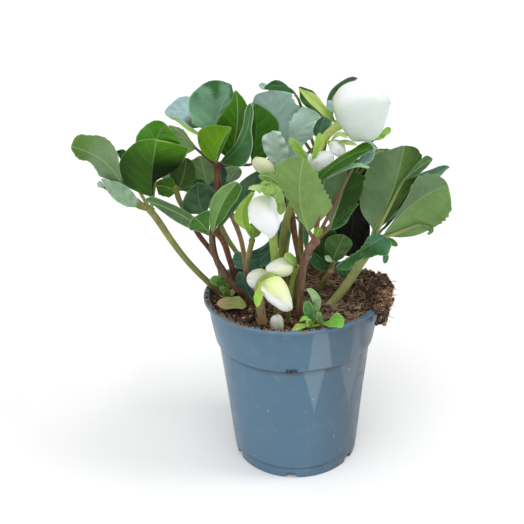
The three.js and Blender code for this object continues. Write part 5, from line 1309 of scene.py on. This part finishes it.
def make_leaves():
    for i, (name, (diameter, route, tones, leaflets)) in enumerate(LEAVES.items()):
        stalk = Piece()
        add_stalk(stalk, diameter, route, tones, seed=i, knob=False)
        slot = "green_stem" if name == "right" else "leaf_stalk"
        stalk.finish(f"{name}_leafstalk", slot, [STALK], f"{name}_stalk")
        blade = Piece()
        add_foliage(blade, route[-1], diameter * KNOB, leaflets, np.array(tones[-1]))
        slot = {"top_pale": "leaf_pale", "lime_low": "bract_lime"}.get(name, "leaf_green")
        blade.finish(f"{name}_leaf", slot, [LEAF_UPPER, LEAF_UNDER], f"{name}_blade")


make_leaves()


# ---- flowers --------------------------------------------------------------------------------
# A bud is a rounded form along a parabola through base, mid and tip: its drawn widths to the left and to the
# right, seen from the front and without the two ends, and its depths in front and behind. A petal lies on the
# form between two turns round it (0 right, 90 front, 180 left, 270 behind, or evenly spaced values from base
# to tip), lifted a little off it: (from, to, lift, colours from base to tip).
FRONT = (0, -0.92, 0.38)
CREAM = paint(240, 240, 190)
SHADED = paint(212, 227, 217)
PETALS = [
    (75, 205, 0.6, (IVORY, WHITE, WHITE)),
    (-45, 100, 0.25, (IVORY, WHITE, WHITE)),
    (-120, -30, 0.0, (IVORY, IVORY, WHITE)),
    (190, 290, -0.1, (IVORY, WHITE, WHITE)),
]


def add_petal(piece, form, low, high, lift, tones, seed=0, ruffle=0.3, crumple=0.0, shade=0.0, grid=(36, 21)):
    """One petal; shade is how much its colour goes over to SHADED where it is on the bud's lower side."""
    rows, columns = grid
    base, mid, tip, wide, deep = form
    theta = np.linspace(0.015, 0.985, rows)
    t = (1 - np.cos(np.pi * theta)) / 2
    x = np.linspace(0, 1, columns)
    line, side, up = midrib(base, mid, tip, FRONT, t)
    edges = [through(e, theta) if isinstance(e, list) else np.full(rows, float(e)) for e in (low, high)]
    angle = np.radians(edges[0][:, None] + (edges[1] - edges[0])[:, None] * x)
    left, right = (np.maximum(through([0, *w, 0], theta), 0.4)[:, None] for w in wide)
    front, back = (d * np.sin(np.pi * theta)[:, None] ** 0.85 for d in deep)
    across = np.where(np.cos(angle) < 0, left, right) * np.cos(angle)
    depth = np.where(np.sin(angle) < 0, back, front) * np.sin(angle)
    around = side[:, None] * np.cos(angle)[..., None] + up[:, None] * np.sin(angle)[..., None]
    middle = line[:, None] + side[:, None] * across[..., None] + up[:, None] * depth[..., None]
    rim = np.abs(2 * x - 1)[None, :]
    size = max(max(wide[0]), max(wide[1]))
    rough = noise(middle, size * 0.5, seed) + 0.5 * noise(middle, size * 0.22, seed + 1)
    out = lift * (0.3 + 0.7 * smooth(t, 0, 0.25))[:, None] + ruffle * rough * (0.25 + 0.75 * rim ** 3)
    out = out + crumple * smooth(t, 0.72, 0.95)[:, None] * noise(middle, size * 0.16, seed + 2)
    crease = noise(np.stack([angle * 2.2, 0 * angle + t[:, None] * 0.9, 0 * angle], -1), 0.5, seed + 3)
    out = out + 0.35 * ruffle * crease * smooth(t, 0.1, 0.5)[:, None] - 0.35 * rim ** 6
    middle = middle + around * out[..., None]
    tint = gradient(tones, rows)[:, None] * (1 + 0.03 * noise(middle, size * 0.3, seed))[..., None]
    lower = shade * smooth(-np.degrees(angle), -120, -82)[..., None]
    tint = tint + (np.array(SHADED) * (0.9 + 0.1 * t)[:, None, None] - tint) * lower
    marks = np.stack([size * rim + 0 * angle, 9 * (x - 0.5) + 0 * angle, np.full(angle.shape, 5.0)], -1)
    piece.sheet(middle[:, ::-1], 0.2, 0.2, (tint[:, ::-1], tint[:, ::-1]), marks[:, ::-1], skins=(0, 0))


CREAMY = [(75, 205, 0.6, (paint(196, 216, 144), paint(236, 242, 212), WHITE)),
          (-45, 100, 0.25, (paint(196, 216, 144), paint(232, 240, 206), WHITE)),
          (-120, -30, 0.0, (LIME, paint(206, 222, 158), IVORY)),
          (190, 290, -0.1, (LIME, IVORY, IVORY))]
OLIVE = [(*where, (paint(160, 170, 100), paint(220, 224, 180), paint(212, 218, 168)))
         for *where, _ in PETALS]


def add_bud(piece, form, petals, seed=0):
    for i, petal in enumerate(petals):
        add_petal(piece, form, *petal, seed=seed + i)


FLOWERS = {
    "tall": {
        "stem": (5, [(-8, 4, 84), (-5, -6, 104), (-4, -10, 118), (-6, -12, 136), (-7, -12, 154),
                     (-2, -12, 180), (8, -11, 199), (15, -10, 215), (21, -8, 225), (28, -7, 231)]),
        "tones": (OLIVE_STALK, paint(92, 92, 40), OLIVE_STALK, paint(176, 196, 100), paint(204, 222, 128)),
        "bracts": [
            ((25.5, -8, 234), (15, -17, 245.5), (4, -22, 256), (-0.17, -0.7, 0.69),
             ([2, 5.5, 5, 2.5], [2, 2.5, 3.5, 1]), 26,
             dict(upper=paint(164, 190, 104), under=LIME, ruffle=0.1, teeth=0, rim=0.3)),
        ],
        "bud": ((27, -9, 235.5), (42, -12, 241), (57.5, -15, 245.5),
                ([10, 13.5, 16, 16, 14, 8, 2.5], [6, 15.5, 18, 19.5, 17, 10, 2.5]), (16, 15)),
        "petals": [
            (215, 310, 0.4, (IVORY, WHITE)),
            ([80, 92, 97, 96, 94, 70], 262, 0.9, (paint(206, 226, 170), WHITE, WHITE, SHADED)),
            ([60, 52, 52, 54, 60], 140, 0.5, (paint(204, 216, 170), WHITE, WHITE, WHITE)),
            ([44, 37, 36, 38, 50], 100, 0.1, (paint(204, 216, 170), SHADED, SHADED)),
            (-80, 60, -0.4, (IVORY, SHADED, SHADED)),
        ],
    },
    "nodding": {
        "stem": (5.5, [(-12, -8, 84), (-11, -18, 106), (-11, -22, 131), (-12, -25, 151), (-13, -26, 166),
                       (-13, -25, 182), (-13, -25, 193), (-14, -30, 201), (-17, -37, 203)]),
        "tones": (OLIVE_STALK, GREEN_STALK, GREEN_STALK, GREEN_STALK, LIME),
        "bracts": [
            ((-17.5, -41, 203.5), (-22, -47, 207), (-26.5, -50, 206), (-0.08, -0.71, 0.7),
             ([1, 4, 6, 1.5], [1.5, 1, 0, 0]), 8,
             dict(upper=paint(164, 190, 120), under=LIME, ruffle=0.9, ruffles=4, teeth=0.2)),
            ((-16.5, -41, 205), (-15.5, -50, 206), (-18, -53, 203.5), FRONT_MIDDLE, (3.5, 3.5), 12,
             dict(upper=paint(136, 166, 88), under=LIME, ruffle=1.0, ruffles=4, teeth=0.2)),
            ((-16, -41, 205.5), (-10, -49, 205.5), (-7.5, -49, 196.5), (0.1, -0.77, 0.63),
             ([1, 1, 1, 1], [1.5, 3.5, 4.5, 2.5]), 8,
             dict(upper=paint(120, 152, 78), under=LIME, ruffle=1.2, ruffles=5, teeth=0.3)),
            ((-10, -49, 201), (-8.5, -49, 196), (-9, -48.5, 190), (0.1, -0.88, 0.47), (2.5, 2.5), 8,
             dict(upper=paint(112, 146, 66), under=LIME, ruffle=0.8, ruffles=3, teeth=0.2)),
        ],
        "bud": ((-17.5, -40, 199), (-17, -43, 187.5), (-15, -43, 175),
                ([5, 6.5, 7, 6.5, 3.5], [6, 8.5, 9, 5, 0.5]), (8.5, 8)),
        "petals": [
            (-25, [100, 106, 110, 108, 100], 0.8, (IVORY, WHITE, SHADED)),
            (90, 225, 0.2, (WHITE, WHITE, WHITE)),
            # The right petal's darker grey-green middle tone is painted shade.
            (-75, 28, 0.1, (IVORY, paint(166, 182, 154), CREAM)),
            (200, 320, -0.1, (IVORY, WHITE)),
        ],
    },
    "lime": {
        "stem": (6, [(-22, -19, 84), (-22, -30, 104), (-21, -35, 112), (-22, -36, 127), (-22, -37, 138),
                     (-20, -38, 144), (-15, -40, 147)]),
        "tones": (BROWN_STALK, paint(150, 132, 92), paint(156, 140, 96), GREEN_STALK),
        "bracts": [
            ((-15, -40, 147), (-21.5, -47, 142), (-24, -50, 133), (-0.6, -0.7, 0.2),
             ([2, 3, 3, 2], [2, 3, 3, 2]), 10, dict(upper=LIME, under=PALE_LIME)),
        ],
        "bud": ((-19, -42, 145.5), (-11.5, -46, 140), (-4, -47, 129.5),
                ([3, 7, 6.5, 4, 1.5], [5.5, 6.5, 7, 6, 4]), (7.5, 7)),
        "petals": [
            ([70, 62, 66, 84, 90], 215, 0.7, (paint(216, 238, 120), paint(236, 246, 184), WHITE)),
            (-40, 110, 0.3, (CREAM, WHITE, WHITE, IVORY)),
            (-110, -30, 0.2, (paint(206, 226, 120), CREAM, IVORY)),
            (200, 290, -0.1, (IVORY, WHITE)),
        ],
    },
    "low_left": {
        "stem": (3, [(-26, -13, 84), (-26, -18, 104), (-22, -20, 120), (-18, -20, 132), (-15, -21, 138)]),
        "tones": (BROWN_STALK, OLIVE_STALK, GREEN_STALK),
        "bracts": [],
        "bud": ((-15.5, -22, 141), (-22.5, -25, 141), (-30, -26, 140.5),
                ([2.5, 4, 6, 4], [2.5, 5, 5, 3]), (5.5, 5)),
        "petals": CREAMY,
    },
    "low_right": {
        "stem": (3, [(-4, -19, 84), (-5, -24, 104), (-4, -26, 120), (-2, -27, 138), (1, -29, 149)]),
        "tones": (OLIVE_STALK, OLIVE_STALK, GREEN_STALK),
        "bracts": [
            ((1, -30, 149.5), (-2, -35, 156.5), (-7, -39, 160.5), FRONT_STEEP, (3.5, 3.5), 12,
             dict(upper=paint(150, 188, 90), under=PALE_LIME, teeth=0, ruffle=0.3)),
        ],
        "bud": ((-2, -32, 152), (-10, -35, 152), (-18, -36, 151.5),
                ([4.5, 5.5, 4.5, 2], [3.5, 5, 4, 2]), (5.5, 5)),
        "petals": CREAMY,
    },
}


def make_flowers():
    for i, (name, flower) in enumerate(FLOWERS.items()):
        diameter, route = flower["stem"]
        stem = Piece()
        add_stalk(stem, diameter, route, flower["tones"], seed=20 + i, knob=not flower["bracts"])
        stem.finish(f"{name}_stem", "green_stem", [STALK], f"{name}_flower_stem")
        if flower["bracts"]:
            bracts = Piece()
            tone = np.array(flower["tones"][-1])
            add_foliage(bracts, route[-1], diameter * KNOB, flower["bracts"], tone)
            bracts.finish(f"{name}_bracts", "bract_lime", [BRACT, BRACT], f"{name}_flower_bracts")
        if name == "tall":
            for k, petal in enumerate(flower["petals"]):
                tepal = Piece()
                add_petal(tepal, flower["bud"], *petal, seed=k, ruffle=0.5, crumple=0.9, shade=0.9,
                          grid=(60, 41))
                tepal.finish(f"tall_tepal_{k + 1}", "petal_white", [PETAL], f"tall_petal_{k + 1}")
            continue
        bud = Piece()
        add_bud(bud, flower["bud"], flower["petals"], seed=i)
        bud.finish(f"{name}_bud", "petal_white", [PETAL], f"{name}_flower_bud")


SIDE_BUDS = {
    "tall_side_bud": (
        (2.2, [(19.5, -9, 222), (22, -12, 222), (23, -13, 220)]),
        ((22.5, -12.5, 221), (27, -14.5, 218.5), (29, -16, 214),
         ([2.6, 4, 3.6, 2], [2.6, 4, 3.6, 2]), (4, 4)),
        [
            ((22.5, -12.5, 221.5), (30, -18, 223), (37.5, -21, 222), (0.1, -0.65, 0.75), (2, 2), 14,
             dict(upper=PALE_LIME, under=PALE_LIME, ruffle=0.2, teeth=0)),
            ((22.5, -12.5, 221.5), (27, -17, 227.5), (31.5, -21, 226.5), (0.1, -0.71, 0.69), (2, 2), 14,
             dict(upper=PALE_LIME, under=LIME, ruffle=0.2, teeth=0)),
        ]),
    "tall_lower_bud": (
        (2.6, [(4, -12, 191), (8, -15, 202), (11, -14, 208)]),
        ((11, -14, 208.5), (17.5, -16, 212), (24.5, -16, 214),
         ([4.5, 5, 4.5, 3], [3.5, 5, 4.5, 2.5]), (5, 5)),
        [
            ((11, -17, 208), (4, -21, 220), (-2, -21, 227), (-0.3, -0.9, 0.3), (2.5, 2.5), 20,
             dict(upper=LIME, under=PALE_LIME)),
            ((11, -17, 208), (14, -21, 222), (16, -22, 230), (0.3, -0.9, 0.2), (2.5, 2.5), 20,
             dict(upper=LIME, under=PALE_LIME)),
        ]),
    "nodding_side_bud": (
        (2.6, [(-12, -25, 186), (-9, -22, 200), (-11, -20, 208)]),
        ((-11.5, -20, 207), (-17, -22, 211), (-22.5, -22, 216.5),
         ([2.5, 3.5, 4, 3], [2.5, 4, 4, 2]), (4, 4)),
        []),
    "sprouting_bud": (
        (3.6, [(-12, -21, 84), (-12, -34, 102), (-12, -39, 110)]),
        ((-12, -38.5, 109), (-12, -41.5, 116), (-13, -43, 123.5), ([2.6, 3.4, 3], [2.6, 3.4, 3]), (3.4, 3.4)),
        []),
}


def make_side_buds():
    petals = {"nodding_side_bud": OLIVE, "sprouting_bud": CREAMY}
    for i, (name, (stalk, bud, bracts)) in enumerate(SIDE_BUDS.items()):
        piece = Piece()
        add_bud(piece, bud, petals.get(name, PETALS), seed=40 + i)
        start = len(piece.skins)
        add_stalk(piece, *stalk, (GREEN_STALK, LIME), seed=30 + i, knob=False)
        piece.skins[start:] = [s + 1 for s in piece.skins[start:]]
        start = len(piece.skins)
        for bract in bracts:
            add_leaflet(piece, *bract)
        piece.skins[start:] = [np.full_like(s, 2) for s in piece.skins[start:]]
        piece.finish(f"{name}_shoot", "petal_white", [PETAL, STALK, BRACT], name)


LOW_GROWTH = {
    "seedling": ((2.8, [(9, -38, 98), (9, -42, 114)]), [
        ((12, -41, 123), (14, -40, 132), (6.5, -38, 138), (-0.19, -0.81, 0.55),
         ([3, 4.5, 4.5, 2], [0, 0.5, 1, 1.5]), 10,
         dict(upper=paint(146, 178, 128), under=UNDER_PALE, ruffle=0.2, teeth=0)),
        ((8, -43, 115.5), (7, -43, 124.5), (6, -42, 132), (-0.09, -0.82, 0.56),
         ([0.5, 2, 3, 2], [1, 3.5, 3.5, 2.5]), 12, dict(upper=paint(84, 142, 76), ruffle=0.3, teeth=0.2)),
        ((14.5, -46, 117.5), (20.5, -55, 125), (27, -57, 126), FRONT_STEEP,
         ([1, 0.5, 4, 2], [1, 3.5, 5, 5]), 12,
         dict(upper=paint(112, 172, 62), ruffle=0.3, teeth=0.6, tooth=2.4, toothed_from=0.3)),
        ((14, -45, 117), (13, -46, 121.5), (12.5, -46, 126.5), FRONT_MIDDLE, ([1, 1.5, 1], [2, 2, 2]), 12,
         dict(upper=paint(122, 168, 92), ruffle=0.2, teeth=0.2)),
        ((8.5, -45, 115), (2.5, -48, 118), (-3.5, -50, 115.5), (0.02, -0.59, 0.8), (2, 2), 12,
         dict(upper=paint(166, 200, 90), under=LIME, ruffle=0.4, teeth=0)),
        ((8.5, -45, 115.5), (5.5, -46, 122), (1.5, -47, 120.5), (0.02, -0.59, 0.8), (1.5, 1.5), 14,
         dict(upper=paint(130, 190, 60), under=LIME, ruffle=0.2, teeth=0)),
        ((8.5, -45, 114.5), (7, -48, 119.5), (5.5, -49, 122.5), FRONT_HIGH, (2.5, 2.5), 16,
         dict(upper=paint(156, 208, 92), under=LIME, ruffle=0.4, teeth=0)),
    ]),
    "young_leaves": ((2.8, [(-44, 1, 98), (-46, 1, 114.5)]), [
        ((-47, 2, 124.5), (-51, 0, 130), (-55.5, -2, 129.5), (-0.07, -0.65, 0.76),
         ([2, 5, 6], [1.5, 2.5, 1]), 10, dict(upper=paint(100, 150, 60), teeth=0.2, ruffle=0.4)),
        ((-47, 3, 121), (-46, 2, 127.5), (-46, 2, 131.5), FRONT_MIDDLE, ([3, 4, 2], [2.5, 3, 1]), 10,
         dict(upper=paint(88, 140, 50), teeth=0.2, ruffle=0.4)),
        ((-44, 1, 117.5), (-45.5, -1, 121.5), (-49, -2, 125), (-0.07, -0.65, 0.76),
         ([2, 2.5, 2], [2, 2.5, 1.5]), 10, dict(upper=paint(124, 168, 84), teeth=0.2, ruffle=0.4)),
        ((-43, 1, 116.5), (-41, 0, 119.5), (-39.5, 0, 122), FRONT_STEEP, (2, 2), 10,
         dict(upper=paint(170, 190, 90), teeth=0, ruffle=0.2)),
        ((-47, 3, 126.5), (-48, 3, 131.5), (-49.5, 3, 136), (0.01, -0.83, 0.56), (1.5, 1.5), 10,
         dict(upper=paint(130, 160, 120), teeth=0, ruffle=0.1)),
    ]),
    "teal_leaf": ((2.8, [(-28, -1, 98), (-28, -1, 114)]), [
        ((-29, -2, 116), (-31.5, -2, 125), (-35, -2, 135.5), (-0.09, -0.82, 0.56),
         ([3, 4, 5.5, 4], [5, 3.5, 3, 2]), 8, dict(upper=paint(76, 112, 96), teeth=0.1, ruffle=0.4)),
        ((-29, -1, 116.5), (-33, 0, 117), (-37, 0, 116.5), (-0.07, -0.65, 0.76), (2, 2), 12,
         dict(upper=paint(110, 150, 70), teeth=0.1)),
    ]),
}
FALLEN_LEAF = (
    (-31.5, -17, 118), (-40.5, -17, 120), (-50.5, -13, 118.5), (0.02, -0.59, 0.8),
    ([3, 3.5, 5, 2.5], [3, 5, 4, 3]), 6,
    dict(upper=paint(146, 152, 88), tip_tone=paint(204, 156, 118), under=paint(170, 130, 96), teeth=0,
         ruffle=0.3))


def make_low_growth():
    for i, (name, ((diameter, route), leaflets)) in enumerate(LOW_GROWTH.items()):
        piece = Piece()
        piece.tube(curve_through(route, 8), diameter / 2, GREEN_STALK)
        add_foliage(piece, route[-1], diameter / 2, leaflets, np.array(GREEN_STALK), twig=2)
        slot = "leaf_green" if name == "teal_leaf" else "young_leaf"
        piece.finish(f"{name}_tuft", slot, [LEAF_UPPER, LEAF_UNDER], name)
    leaf = Piece()
    add_leaflet(leaf, *FALLEN_LEAF)
    leaf.finish("withered_leaf", "old_leaf", [LEAF_UPPER, LEAF_UNDER], "fallen_leaf")


make_flowers()
make_side_buds()
make_low_growth()


def paint_crown():
    """The buried rootstock keeps the frame's mesh and only gets a skin."""
    material, tree, shader = new_material("rhizome")
    tone = use_group(tree, LIVING_TONE, {
        "Colour": paint(96, 66, 46), "Blotch": 0.6, "Blotch Size": 150.0, "Grain": 0.4, "Grain Size": 1200.0})
    connect(tree, shader, tone["Colour"], 0.9, tone["Grain"], 0.6, 0.001)
    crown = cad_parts["rhizome_crown"]
    crown.data.materials.clear()
    crown.data.materials.append(material)


paint_crown()


# ---- floor, light ---------------------------------------------------------------------------
FLOOR_HALF = 14.0  # half of the floor's side, in metres
SKY = 0.6  # brightness of the white room all round
# Soft lamps: (name, azimuth and height that it shines from in degrees, strength, width in degrees).
SUNS = [("low_from_right", -6, 47, 0.95, 22), ("high_from_left", -116, 66, 1.25, 60)]


def make_floor():
    mesh = bpy.data.meshes.new("floor")
    s = FLOOR_HALF
    mesh.from_pydata([(-s, -s, 0), (s, -s, 0), (s, s, 0), (-s, s, 0)], [], [(0, 1, 2, 3)])
    floor = bpy.data.objects.new("floor", mesh)
    bpy.context.scene.collection.objects.link(floor)
    paper, tree, shader = new_material("floor_paper")
    shader.inputs["Base Color"].default_value = (0.97, 0.97, 0.97, 1)
    shader.inputs["Roughness"].default_value = 0.9
    shader.inputs["Specular IOR Level"].default_value = 0.1
    mesh.materials.append(paper)


def make_sky():
    world = bpy.data.worlds.new("studio")
    world.use_nodes = True
    background = world.node_tree.nodes["Background"]
    background.inputs[0].default_value = (1, 1, 1, 1)
    background.inputs[1].default_value = SKY
    bpy.context.scene.world = world


def make_lamps():
    for name, azimuth, height, strength, spread in SUNS:
        data = bpy.data.lights.new(name, "SUN")
        data.energy, data.angle = strength, math.radians(spread)
        lamp = bpy.data.objects.new(name, data)
        a, e = math.radians(azimuth), math.radians(height)
        back = np.array([math.cos(e) * math.cos(a), math.cos(e) * math.sin(a), math.sin(e)])
        right = unit(np.cross([0, 0, 1], back))
        turn = np.eye(4)
        turn[:3, 0], turn[:3, 1], turn[:3, 2] = right, np.cross(back, right), back
        lamp.matrix_world = Matrix(turn.tolist())
        bpy.context.scene.collection.objects.link(lamp)


make_floor()
make_sky()
make_lamps()
bpy.context.scene.view_settings.view_transform = "Standard"
